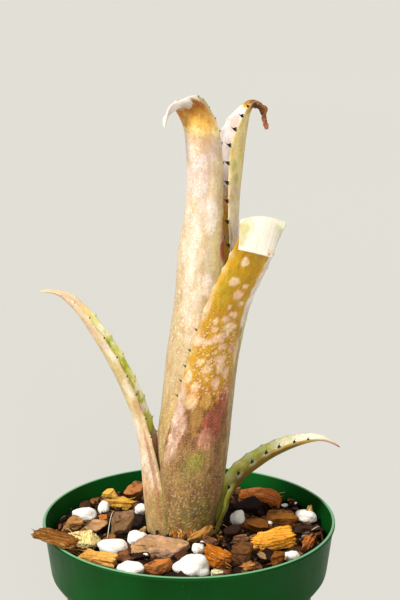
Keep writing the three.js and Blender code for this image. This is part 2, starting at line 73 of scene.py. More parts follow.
# Pot
POT_HEIGHT = 90
RIM_RADIUS = 52
COLLAR_FOOT_RADIUS = 49.3
COLLAR_FOOT_Z = 72
INNER_FOOT_Z = COLLAR_FOOT_Z + 0.8
LIP_RADIUS = 0.6
BODY_TOP_RADIUS = 44.8
BODY_TOP_Z = 68
BASE_RADIUS = 36
WALL = 1.5
FLOOR = 1.8
POT_SEGMENTS = 192
SIDE_SLOTS = 8
SLOT_WIDTH = 2.5
SLOT_LENGTH = 26
SLOT_TOP_Z = 66
FIRST_SLOT_ANGLE = 21
FLOOR_HOLES = 6
FLOOR_HOLE_RADIUS = 3.5
FLOOR_HOLE_RING = 22
CUTTER_DEPTH = 12
NUB_X = -1.3
NUB_Z = 86.6
NUB_RADIUS = 0.5

# Potting mix
MIX_LEVEL = 84.6
MIX_DOME = 1.6
MIX_DOME_SPREAD = 480
MIX_SLOPE = -0.024
MIX_RIPPLE = 0.7
WALL_CLEARANCE = 0.3
BARK_LAYER = 0.9
ROOT_RING = 9.8
ROOT_Z = 87.4
GOLDEN_ANGLE = 2.39996
BED_SEGMENTS = 160
BED_RINGS = 40
BED_RADIUS = 44

# Plant
LEAF_FOOT_Z = 76
BLADE_THICKNESS = 0.8
MARGIN_THICKNESS = 0.45
TOOTH_BASE = 0.4
TOOTH_BASE_LENGTH = 1.15
TOOTH_SINK = 0.35
LEAST_CUP = 1.5
FULL_TOOTH_HALF_WIDTH = 6

# The tube and the sheaths of the two low leaves at the bed: x, y, radius
SHEATHS = ((0, 0, 10.6), (-9.2, 0.4, 6.6), (10.5, 1.8, 3.4))

# The edges of a blade: from which v tooth bases rise, how near the faces come to each other and how
# far the margin stands out. Its tip: the rows over which it thins, and the share that it thins to.
TOOTH_BASE_FROM = 0.8
MARGIN_SHARE = 0.55
MARGIN_REACH = 0.12
TIP_ROWS = 14
TIP_THINNESS = 0.35

# Layers of a blade, and how far the grain of its inner face is from that of its outer face
OUTER, INNER, MARGIN = 0, 1, 2
FACE_SHIFT = 300

# How far the borders of painted zones wander and over how much a crumple sets in, in stations
PAINT_WOBBLE = 0.3
CRUMPLE_EASE = 0.5

# How far a blot reaches and how wide its soft edge is, in half sizes
BLOT_REACH = 1.8
BLOT_EDGE = 0.5

# Flecks that are even across a leaf
EVEN = [(0, 1)]

# Mesh resolution, and how crisp the edges of a chip and the creases of perlite are
BLADE_STEP = 0.55
CHIP_STEP = 0.5
HUSK_STEP = 0.32
CHIP_CRISPNESS = 18
LOBE_CRISPNESS = 24
FLAT_CRISPNESS = 12

# Radius of the ball inside a perlite grain, before the grain is fitted to its size
PERLITE_CORE = 0.72

# Half a side of the floor, in metres
FLOOR_REACH = 14


def colour(code):
    """A linear colour from an sRGB hex code."""
    values = [int(code[i:i + 2], 16) / 255 for i in (0, 2, 4)]
    return Vector([v / 12.92 if v <= 0.04045 else ((v + 0.055) / 1.055) ** 2.4 for v in values])


WHITE_PINK = colour("f3e9e2")
LILAC_WHITE = colour("f7f1f5")
SCURF = colour("eee6dc")
CREAM = colour("e6d6ac")
PALE_CREAM = colour("cebfa0")
CREAM_SHADE = colour("c2ae84")
PALE_ROSE = colour("ddccc8")
FLAP_WHITE = colour("e6ddcf")
PALE_MAUVE = colour("d6baa8")
CREAM_TAN = colour("cfba86")
PINK_CREAM = colour("dec4a2")
BEIGE = colour("b8a068")
TAN = colour("ac8c50")
OCHRE_TAN = colour("cca44c")
OLIVE_TAN = colour("8a702a")
LILAC_BROWN = colour("98783a")
AMBER = colour("ca8a14")
DEEP_AMBER = colour("b0700c")
GOLD = colour("ca9a02")
PALE_GOLD = colour("d8aa48")
BUTTER = colour("ecd896")
OLIVE = colour("7c6616")
DEEP_OLIVE = colour("64500e")
MOSS = colour("7a7814")
BROWN = colour("84521c")
ROSE = colour("ac563c")
PINK = colour("dc9f82")
PEACH = colour("fadcae")
PEACH_PINK = colour("f6cdaa")
LEAF_GREEN = colour("a4ae14")
YELLOW_GREEN = colour("c8cc48")
PALE_LIME = colour("dfdf8c")
PALE_GREEN = colour("d3dca4")
FLAP_SHADE_GREEN = colour("a8a24c")
SHADE_OCHRE = colour("ecc256")
GREEN_CREAM = colour("e6e6c4")
BAND_CREAM = colour("f6f0dc")
GREY_BEIGE = colour("b4a070")
RED_MARGIN = colour("b04a44")
THORN_DARK = colour("1a0f0a")
THORN_BROWN = colour("3e2412")
THORN_PALE = colour("cfc296")
DRY_GOLD = colour("c8962e")
DRY_BROWN = colour("7c4416")
DRY_DARK = colour("46200c")
DRY_RUST = colour("9a5c3a")

# Factors on a ground colour in pale and deep streaks, and on worn bark
PALE_STREAK = Vector((1.6, 1.52, 1.4))
DEEP_STREAK = Vector((0.66, 0.62, 0.44))
GREY_CAST = Vector((0.86, 0.94, 1.35))
WORN_GAIN = Vector((1.75, 1.62, 1.45))


# Meshes

# Attributes that hold a colour or a number for each point, where the others hold a place
KINDS = {"paint": ("FLOAT_COLOR", "color"), "mottle": ("FLOAT", "value"), "flecks": ("FLOAT", "value")}


def store(mesh, name, values):
    """Keeps a value for each point of the mesh under a name that materials read."""
    kind, field = KINDS.get(name, ("FLOAT_VECTOR", "vector"))
    if kind == "FLOAT_COLOR":
        values = [(*value, 1.0) for value in values]
    if kind != "FLOAT":
        values = [number for value in values for number in value]
    mesh.attributes.new(name, kind, "POINT").data.foreach_set(field, values)


def linked(name, data):
    """A new object in the scene."""
    made = bpy.data.objects.new(name, data)
    bpy.context.scene.collection.objects.link(made)
    return made


class Shape:
    """Points in millimetres, faces, and values for each point, which become one piece."""

    def __init__(self):
        self.points = []
        self.faces = []
        self.values = {}

    def add(self, points, faces, **values):
        first = len(self.points)
        self.points += points
        self.faces += [[first + i for i in face] for face in faces]
        for name, own in values.items():
            self.values.setdefault(name, []).extend(own)

    def piece(self, name, slot, material, *replaces):
        """The piece, which rides on the one body of the part."""
        mesh = bpy.data.meshes.new(name)
        mesh.from_pydata([Vector(p) * MM for p in self.points], [], self.faces)
        mesh.validate()
        bm = bmesh.new()
        bm.from_mesh(mesh)
        bmesh.ops.recalc_face_normals(bm, faces=bm.faces)
        bm.to_mesh(mesh)
        bm.free()
        for polygon in mesh.polygons:
            polygon.use_smooth = True
        for attribute, values in self.values.items():
            store(mesh, attribute, values)
        mesh.materials.append(material)
        made = linked(name, mesh)
        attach(made, "root")
        if replaces:
            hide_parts(*replaces)
        return made


def ring_quads(rings, sides, first=0):
    """Quads between each ring of points and the next, where the points are listed ring by ring."""
    quads = []
    for low in range(first, first + (rings - 1) * sides, sides):
        for i in range(sides):
            j = (i + 1) % sides
            quads.append([low + i, low + j, low + sides + j, low + sides + i])
    return quads


def ball(subdivisions, radius):
    """Points and faces of an even ball."""
    bm = bmesh.new()
    bmesh.ops.create_icosphere(bm, subdivisions=subdivisions, radius=radius)
    points = [v.co.copy() for v in bm.verts]
    faces = [[v.index for v in f.verts] for f in bm.faces]
    bm.free()
    return points, faces


def fit_box(points, size):
    """Stretches points to fill a box of a size about the origin."""
    for axis in range(3):
        low = min(p[axis] for p in points)
        high = max(p[axis] for p in points)
        for p in points:
            p[axis] = ((p[axis] - low) / (high - low) - 0.5) * size[axis]


def lathe(profile, segments):
    """A closed solid turned about Z from a profile of (radius, z) that starts and ends on the axis."""
    points = [Vector((0, 0, profile[0][1])), Vector((0, 0, profile[-1][1]))]
    for radius, z in profile[1:-1]:
        for i in range(segments):
            angle = 2 * math.pi * i / segments
            points.append(Vector((radius * math.cos(angle), radius * math.sin(angle), z)))
    faces = ring_quads(len(profile) - 2, segments, 2)
    last = len(points) - segments
    for i in range(segments):
        j = (i + 1) % segments
        faces += [[0, 2 + j, 2 + i], [1, last + i, last + j]]
    return points, faces


def tube(path, radii, sides=5):
    """A closed round strand along a path, with a radius at each of its points."""
    points = []
    for k, centre in enumerate(path):
        ahead = (path[min(k + 1, len(path) - 1)] - path[max(k - 1, 0)]).normalized()
        across = ahead.cross(UP if abs(ahead.z) < 0.9 else Vector((1, 0, 0))).normalized()
        other = ahead.cross(across)
        for s in range(sides):
            angle = 2 * math.pi * s / sides
            points.append(centre + (across * math.cos(angle) + other * math.sin(angle)) * radii[k])
    ends = [list(range(sides)), [len(points) - 1 - s for s in range(sides)]]
    return points, ring_quads(len(path), sides) + ends


# Material nodes

class Graph:
    """A short way to write the nodes of one material. A scale of three numbers stretches a texture."""

    def __init__(self, name):
        self.material = bpy.data.materials.new(name)
        self.material.use_nodes = True
        self.tree = self.material.node_tree
        self.tree.nodes.clear()
        output = self.tree.nodes.new("ShaderNodeOutputMaterial")
        self.shader = self.tree.nodes.new("ShaderNodeBsdfPrincipled")
        self.tree.links.new(self.shader.outputs["BSDF"], output.inputs["Surface"])

    def put(self, socket, value):
        if isinstance(value, bpy.types.NodeSocket):
            self.tree.links.new(value, socket)
        elif isinstance(value, Vector) and len(socket.default_value) == 4:
            socket.default_value = (*value, 1.0)
        else:
            socket.default_value = value

    def set(self, **values):
        for name, value in values.items():
            self.put(self.shader.inputs[name.replace("_", " ")], value)
        return self.material

    def node(self, kind, settings=None, **inputs):
        made = self.tree.nodes.new(kind)
        for name, value in (settings or {}).items():
            setattr(made, name, value)
        for name, value in inputs.items():
            self.put(made.inputs[name.replace("_", " ")], value)
        return made

    def attribute(self, name, output="Color"):
        settings = {"attribute_type": "GEOMETRY", "attribute_name": name}
        return self.node("ShaderNodeAttribute", settings).outputs[output]

    def scaled(self, vector, scale):
        """The vector and the number that give a texture its scale."""
        if isinstance(scale, tuple):
            return self.node("ShaderNodeMapping", Vector=vector, Scale=scale).outputs["Vector"], 1.0
        return vector, scale

    def noise(self, vector, scale, detail=3, roughness=0.6, distortion=0.0):
        vector, scale = self.scaled(vector, scale)
        return self.node("ShaderNodeTexNoise", Vector=vector, Scale=scale, Detail=detail,
                         Roughness=roughness, Distortion=distortion).outputs["Fac"]

    def cells(self, vector, scale, flat=False):
        """Distance to the nearest of many scattered points, in a plane where flat."""
        vector, scale = self.scaled(vector, scale)
        settings = {"voronoi_dimensions": "2D" if flat else "3D"}
        return self.node("ShaderNodeTexVoronoi", settings, Vector=vector, Scale=scale).outputs["Distance"]

    def warped(self, vector, scale, reach):
        """vector, pushed about by noise so that shapes laid out on it are irregular."""
        push = self.node("ShaderNodeTexNoise", Vector=vector, Scale=scale, Detail=2.0).outputs["Color"]
        moved = self.node("ShaderNodeVectorMath", {"operation": "MULTIPLY_ADD"})
        for socket, value in zip(moved.inputs, (push, (reach, reach, reach), vector)):
            self.put(socket, value)
        return moved.outputs["Vector"]

    def math(self, operation, a, b):
        made = self.node("ShaderNodeMath", {"operation": operation})
        self.put(made.inputs[0], a)
        self.put(made.inputs[1], b)
        return made.outputs["Value"]

    def times(self, a, b):
        return self.math("MULTIPLY", a, b)

    def plus(self, a, b):
        return self.math("ADD", a, b)

    def spread(self, value, low, high, to_low=0.0, to_high=1.0):
        """value taken from low..high to to_low..to_high, with a soft start and end."""
        made = self.node("ShaderNodeMapRange", {"interpolation_type": "SMOOTHSTEP"}, Value=value,
                         From_Min=low, From_Max=high, To_Min=to_low, To_Max=to_high)
        return made.outputs["Result"]

    def mix(self, factor, a, b, blend="MIX"):
        made = self.node("ShaderNodeMix", {"data_type": "RGBA", "blend_type": blend}, Factor=factor)
        for socket, value in zip([s for s in made.inputs if s.type == "RGBA"], (a, b)):
            self.put(socket, value)
        return [s for s in made.outputs if s.type == "RGBA"][0]

    def over(self, ground, top, value, *span):
        """top laid over the ground, as much as the spread of value says."""
        return self.mix(self.spread(value, *span), ground, top)

    def tinted(self, ground, tint, share=1.0):
        return self.mix(share, ground, tint, "MULTIPLY")

    def toward(self, ground, share, code):
        """ground, taken a share of the way to a colour."""
        return self.mix(share, ground, colour(code))

    def bump(self, height, distance, strength):
        made = self.node("ShaderNodeBump", Height=height, Distance=distance * MM, Strength=strength)
        return made.outputs["Normal"]


def leaf_grain(g, blade, drifted, ground, mottle, grain_tint, streak):
    """The painted ground with clouds, streaks and a fine dark grain, each as strong as the mottling."""
    def where(value, *span):
        return g.times(g.spread(value, *span), mottle)

    grain = g.noise(drifted, (1.5, 0.95, 1), 4, 0.72)
    patches = g.noise(blade, (0.3, 0.13, 1), 4)
    streaks = g.noise(drifted, (0.95, 0.26, 1), 4, 0.7)
    toned = g.mix(where(patches, 0.44, 0.6), ground, g.tinted(ground, grain_tint, 0.55))
    toned = g.mix(where(streaks, 0.5, 0.64, 0, streak), toned, g.tinted(toned, PALE_STREAK))
    toned = g.mix(where(streaks, 0.34, 0.48, streak, 0), toned, g.tinted(toned, DEEP_STREAK))
    return g.mix(where(grain, 0.47, 0.62), toned, g.tinted(toned, grain_tint, 0.5))


def leaf_flecks(g, blade, drifted, toned, fleck_tints, fleck_scale, fleck_turn, rim_tint):
    """Pale flecks that run together, with deeper rims: the skin with them, and where they are."""
    cover = g.attribute("flecks", "Fac")
    across, length = fleck_scale
    turned = g.node("ShaderNodeMapping", Vector=drifted, Rotation=(0, 0, math.radians(fleck_turn)))
    turned = turned.outputs["Vector"]
    large = g.cells(turned, (across, length, 1), flat=True)
    small = g.cells(turned, (1.6 * across, 1.5 * length, 1), flat=True)
    room = g.math("SUBTRACT", g.times(cover, 0.74), large)
    little_room = g.math("SUBTRACT", g.times(cover, 0.44), small)
    rims = g.times(g.spread(room, -0.12, 0, 0, 0.55), g.spread(cover, 0.1, 0.5))
    toned = g.mix(rims, toned, g.tinted(toned, rim_tint, 0.7))
    spots = g.math("MAXIMUM", g.spread(room, 0, 0.15), g.spread(little_room, 0, 0.14, 0, 0.75))
    tint_noise = g.noise(blade, (0.5, 0.24, 1))
    fleck_tint = g.over(*fleck_tints, tint_noise, 0.4, 0.6)
    strength = g.spread(cover, 0.3, 0.5, 0.3, 0.95)
    return g.mix(g.times(spots, strength), toned, g.mix(0.85, toned, fleck_tint)), spots


def leaf_material(name, grain_tint, fleck_tints, fleck_scale, fleck_turn, rim_tint, powder_amount,
                  streak):
    """Leaf skin: painted and grained ground with pale flecks, and a rubbed powder over both."""
    g = Graph(name)
    blade = g.attribute("blade", "Vector")
    mottle = g.attribute("mottle", "Fac")
    drifted = g.warped(blade, 0.8, 1.7)
    toned = leaf_grain(g, blade, drifted, g.attribute("paint"), mottle, grain_tint, streak)
    toned, spots = leaf_flecks(g, blade, drifted, toned, fleck_tints, fleck_scale, fleck_turn, rim_tint)

    powder_noise = g.noise(blade, (3.4, 2.2, 1), 4, 0.7)
    powder = g.times(g.spread(powder_noise, 0.5, 0.7, 0, powder_amount), mottle)
    dust = g.times(g.spread(powder_noise, 0.34, 0.46, 0.2, 0), mottle)
    skin = g.mix(dust, g.mix(powder, toned, SCURF), g.tinted(toned, grain_tint, 0.8))
    veins = g.noise(blade, (2.4, 0.03, 1), 2, 0.5)
    relief = g.plus(g.plus(g.times(veins, 0.6), g.times(powder_noise, 0.5)), g.times(spots, 0.25))
    return g.set(Base_Color=skin, Roughness=g.spread(powder_noise, 0.3, 0.7, 0.42, 0.64),
                 Normal=g.bump(relief, 0.14, 0.6), Specular_IOR_Level=0.2, Sheen_Weight=0.03,
                 Sheen_Roughness=0.6, Subsurface_Weight=0.08, Subsurface_Scale=0.0012)


def bark_material():
    """Bark plates: painted colour with a fine grain, dark seams at the edges and pale worn patches."""
    g = Graph("bark")
    local = g.attribute("local", "Vector")
    ground = g.attribute("paint")
    cast = g.noise(local, (0.12, 0.2, 0.2), 4)
    ground = g.over(ground, g.tinted(ground, GREY_CAST), cast, 0.42, 0.6)
    seams = g.noise(local, (0.1, 0.12, 2.3), 3, 0.55, 0.5)
    patches = g.noise(local, (0.26, 0.42, 0.4), 5, 0.65)
    grain = g.noise(local, (0.5, 3.2, 3.2), 4, 0.65, 0.4)
    grit = g.noise(local, 2.6, 5, 0.72)
    bright = g.tinted(ground, WORN_GAIN)
    toned = g.over(ground, colour("24130d"), seams, 0.36, 0.48, 0.7, 0)
    toned = g.over(toned, bright, patches, 0.48, 0.66, 0, 0.8)
    toned = g.over(toned, g.toward(ground, 0.7, "3a1f16"), patches, 0.26, 0.42, 0.5, 0)
    toned = g.over(toned, g.toward(toned, 0.65, "23120c"), grain, 0.5, 0.66, 0, 0.5)
    toned = g.over(toned, g.toward(toned, 0.6, "1c0f0a"), grit, 0.54, 0.72, 0, 0.6)
    toned = g.over(toned, bright, grit, 0.3, 0.42, 0.5, 0)
    height = g.plus(g.plus(g.times(seams, 0.6), g.times(grit, 0.6)), g.times(grain, 0.5))
    return g.set(Base_Color=toned, Roughness=g.spread(grit, 0.3, 0.7, 0.56, 0.82),
                 Normal=g.bump(height, 0.32, 0.8), Specular_IOR_Level=0.16)


def husk_material(name, pitting):
    """Fibrous husk: painted colour with long fibres, pale ridges and dark hollows between them."""
    g = Graph(name)
    local = g.attribute("local", "Vector")
    ground = g.attribute("paint")
    fibres = g.noise(local, (0.16, 2.1, 2.1), 5, 0.7, 0.5)
    pits = g.noise(local, (0.9, 2.6, 2.6))
    patches = g.noise(local, (0.2, 0.35, 0.35))
    toned = g.over(ground, g.toward(ground, 0.75, "4a220a"), fibres, 0.38, 0.5, 0.85, 0)
    toned = g.over(toned, g.toward(ground, 0.5, "f6e4b8"), fibres, 0.52, 0.68, 0, 0.7)
    toned = g.over(toned, g.toward(ground, 0.75, "3a1c08"), pits, 0.66 - pitting, 0.74 - pitting, 0, 0.8)
    toned = g.over(toned, g.toward(ground, 0.6, "7a3410"), patches, 0.5, 0.66, 0, 0.4)
    height = g.math("SUBTRACT", fibres, g.spread(pits, 0.58, 0.7, 0, 0.5))
    return g.set(Base_Color=toned, Roughness=0.78, Normal=g.bump(height, 0.5, 0.9),
                 Specular_IOR_Level=0.14)


def perlite_material():
    """Perlite: white puffed glass with small pores and a few faint tan stains."""
    g = Graph("perlite_grain")
    local = g.attribute("local", "Vector")
    pores = g.cells(local, 1.7)
    stain = g.noise(local, 0.25)
    clean = g.over(colour("efece5"), colour("c8c1b0"), pores, 0, 0.3, 0.45, 0)
    toned = g.over(clean, colour("ddd0a4"), stain, 0.56, 0.72, 0, 0.45)
    height = g.plus(g.times(pores, 0.5), g.times(g.noise(local, 3.6, 4, 0.65), 0.4))
    return g.set(Base_Color=toned, Roughness=0.68, Normal=g.bump(height, 0.3, 0.7),
                 Specular_IOR_Level=0.35, Subsurface_Weight=0.1, Subsurface_Scale=0.001)


def fines_and_shade_material():
    """The fine part of the mix: bark crumbs, near black, partly their own dark brown and partly painted
    shade for the gaps between chips.
    """
    g = Graph("mix_fines")
    local = g.attribute("local", "Vector")
    crumbs = g.cells(local, 0.9)
    tone = g.noise(local, 0.7, 5, 0.7)
    # Near black tones: partly the crumbs' own colour, partly painted shade in the gaps between chips.
    shade = g.over(colour("0c0502"), colour("2a170a"), tone, 0.4, 0.7)
    return g.set(Base_Color=g.over(shade, colour("0a0504"), crumbs, 0.2, 0.7, 0, 0.5),
                 Roughness=0.85, Normal=g.bump(g.plus(crumbs, tone), 0.6, 0.8), Specular_IOR_Level=0.1)


def pot_material():
    """Thin moulded plastic: deep green with a faint flow grain, paler on the crest of the lip as a painted
    highlight.
    """
    g = Graph("pot_green")
    local = g.attribute("local", "Vector")
    height = g.node("ShaderNodeSeparateXYZ", Vector=local).outputs["Z"]
    cloud = g.noise(local, (0.03, 0.03, 0.012), 3, 0.5)
    scuff = g.noise(local, (0.5, 0.5, 0.08), 5, 0.7)
    ground = g.over(colour("073f0f"), colour("0c4c18"), cloud, 0.35, 0.7)
    ground = g.over(ground, colour("6f9a74"), scuff, 0.6, 0.8, 0, 0.1)
    # Painted highlight: the top few tenths of a millimetre of the lip turn pale green, as if catching the
    # light.
    lip_highlight = g.spread(height, POT_HEIGHT - 0.3, POT_HEIGHT - 0.1, 0, 0.6)
    return g.set(Base_Color=g.mix(lip_highlight, ground, colour("8fc79c")),
                 Roughness=g.spread(scuff, 0.3, 0.8, 0.34, 0.46),
                 Normal=g.bump(g.noise(local, 1.3, 3, 0.5), 0.05, 0.4), Specular_IOR_Level=0.05)


def fibre_material():
    """Dry roots and loose fibres."""
    g = Graph("dry_fibre")
    ground = g.attribute("paint")
    tone = g.noise(g.attribute("local", "Vector"), 1.1)
    return g.set(Base_Color=g.over(ground, g.mix(0.6, ground, BROWN), tone, 0.4, 0.7, 0, 0.5),
                 Roughness=0.75, Specular_IOR_Level=0.3, Normal=g.bump(tone, 0.1, 0.5))


def stem_material():
    """The dry rootstock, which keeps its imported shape."""
    g = Graph("rootstock")
    rings = g.noise(g.node("ShaderNodeTexCoord").outputs["Object"], (300, 300, 900), 4)
    tone = g.over(colour("5a4026"), colour("a88658"), rings, 0.35, 0.7)
    return g.set(Base_Color=tone, Roughness=0.85, Normal=g.bump(rings, 0.4, 0.7))


# Leaves, with the same stations as the frame's solids

def ring(z, axis_x, radius, facing, wrap):
    """A station where the leaf is part of the tube round an upright axis at axis_x."""
    angle = math.radians(facing)
    x = axis_x + radius * math.sin(angle)
    return x, -radius * math.cos(angle), z, facing, radius * math.radians(wrap), wrap, 0, 1


def along(stations, t):
    """One smooth curve through the stations, value by value."""
    last = len(stations) - 1
    i = min(int(t), last - 1)
    f = t - i
    b, c = stations[i], stations[i + 1]
    a = stations[i - 1] if i > 0 else [2 * m - n for m, n in zip(b, c)]
    d = stations[i + 2] if i + 2 <= last else [2 * n - m for m, n in zip(b, c)]
    return [
        0.5 * (2 * q + (r - p) * f + (2 * p - 5 * q + 4 * r - s) * f * f
               + (3 * q - p - 3 * r + s) * f ** 3)
        for p, q, r, s in zip(a, b, c, d)
    ]


class Section:
    """The leaf's section at t: a point for v, from -1 to 1 across, and a depth below the outer face."""

    def __init__(self, stations, t):
        step = 0.04
        x, y, z, facing, self.half_width, cup, roll, level = along(stations, t)
        self.middle = Vector((x, y, z))
        ahead = Vector(along(stations, min(t + step, len(stations) - 1))[:3])
        behind = Vector(along(stations, max(t - step, 0))[:3])
        forward = (ahead - behind).normalized()
        self.forward = forward.lerp(UP, min(max(level, 0), 1)).normalized()
        side = Vector((math.cos(math.radians(facing)), math.sin(math.radians(facing)), 0))
        side = (side - self.forward * side.dot(self.forward)).normalized()
        turn = Matrix.Rotation(-math.radians(roll), 3, self.forward)
        self.side = turn @ side
        self.face = turn @ side.cross(self.forward)
        self.cup = math.radians(cup if abs(cup) > LEAST_CUP else LEAST_CUP)
        self.radius = self.half_width / self.cup

    def at(self, v, depth):
        angle = self.cup * v
        inner = self.radius - depth
        return (self.middle + self.face * (inner * math.cos(angle) - self.radius)
                + self.side * (inner * math.sin(angle)))

    def outward(self, v):
        """The way out of the blade at a margin."""
        return (self.at(v, BLADE_THICKNESS / 2) - self.at(v * 0.94, BLADE_THICKNESS / 2)).normalized()


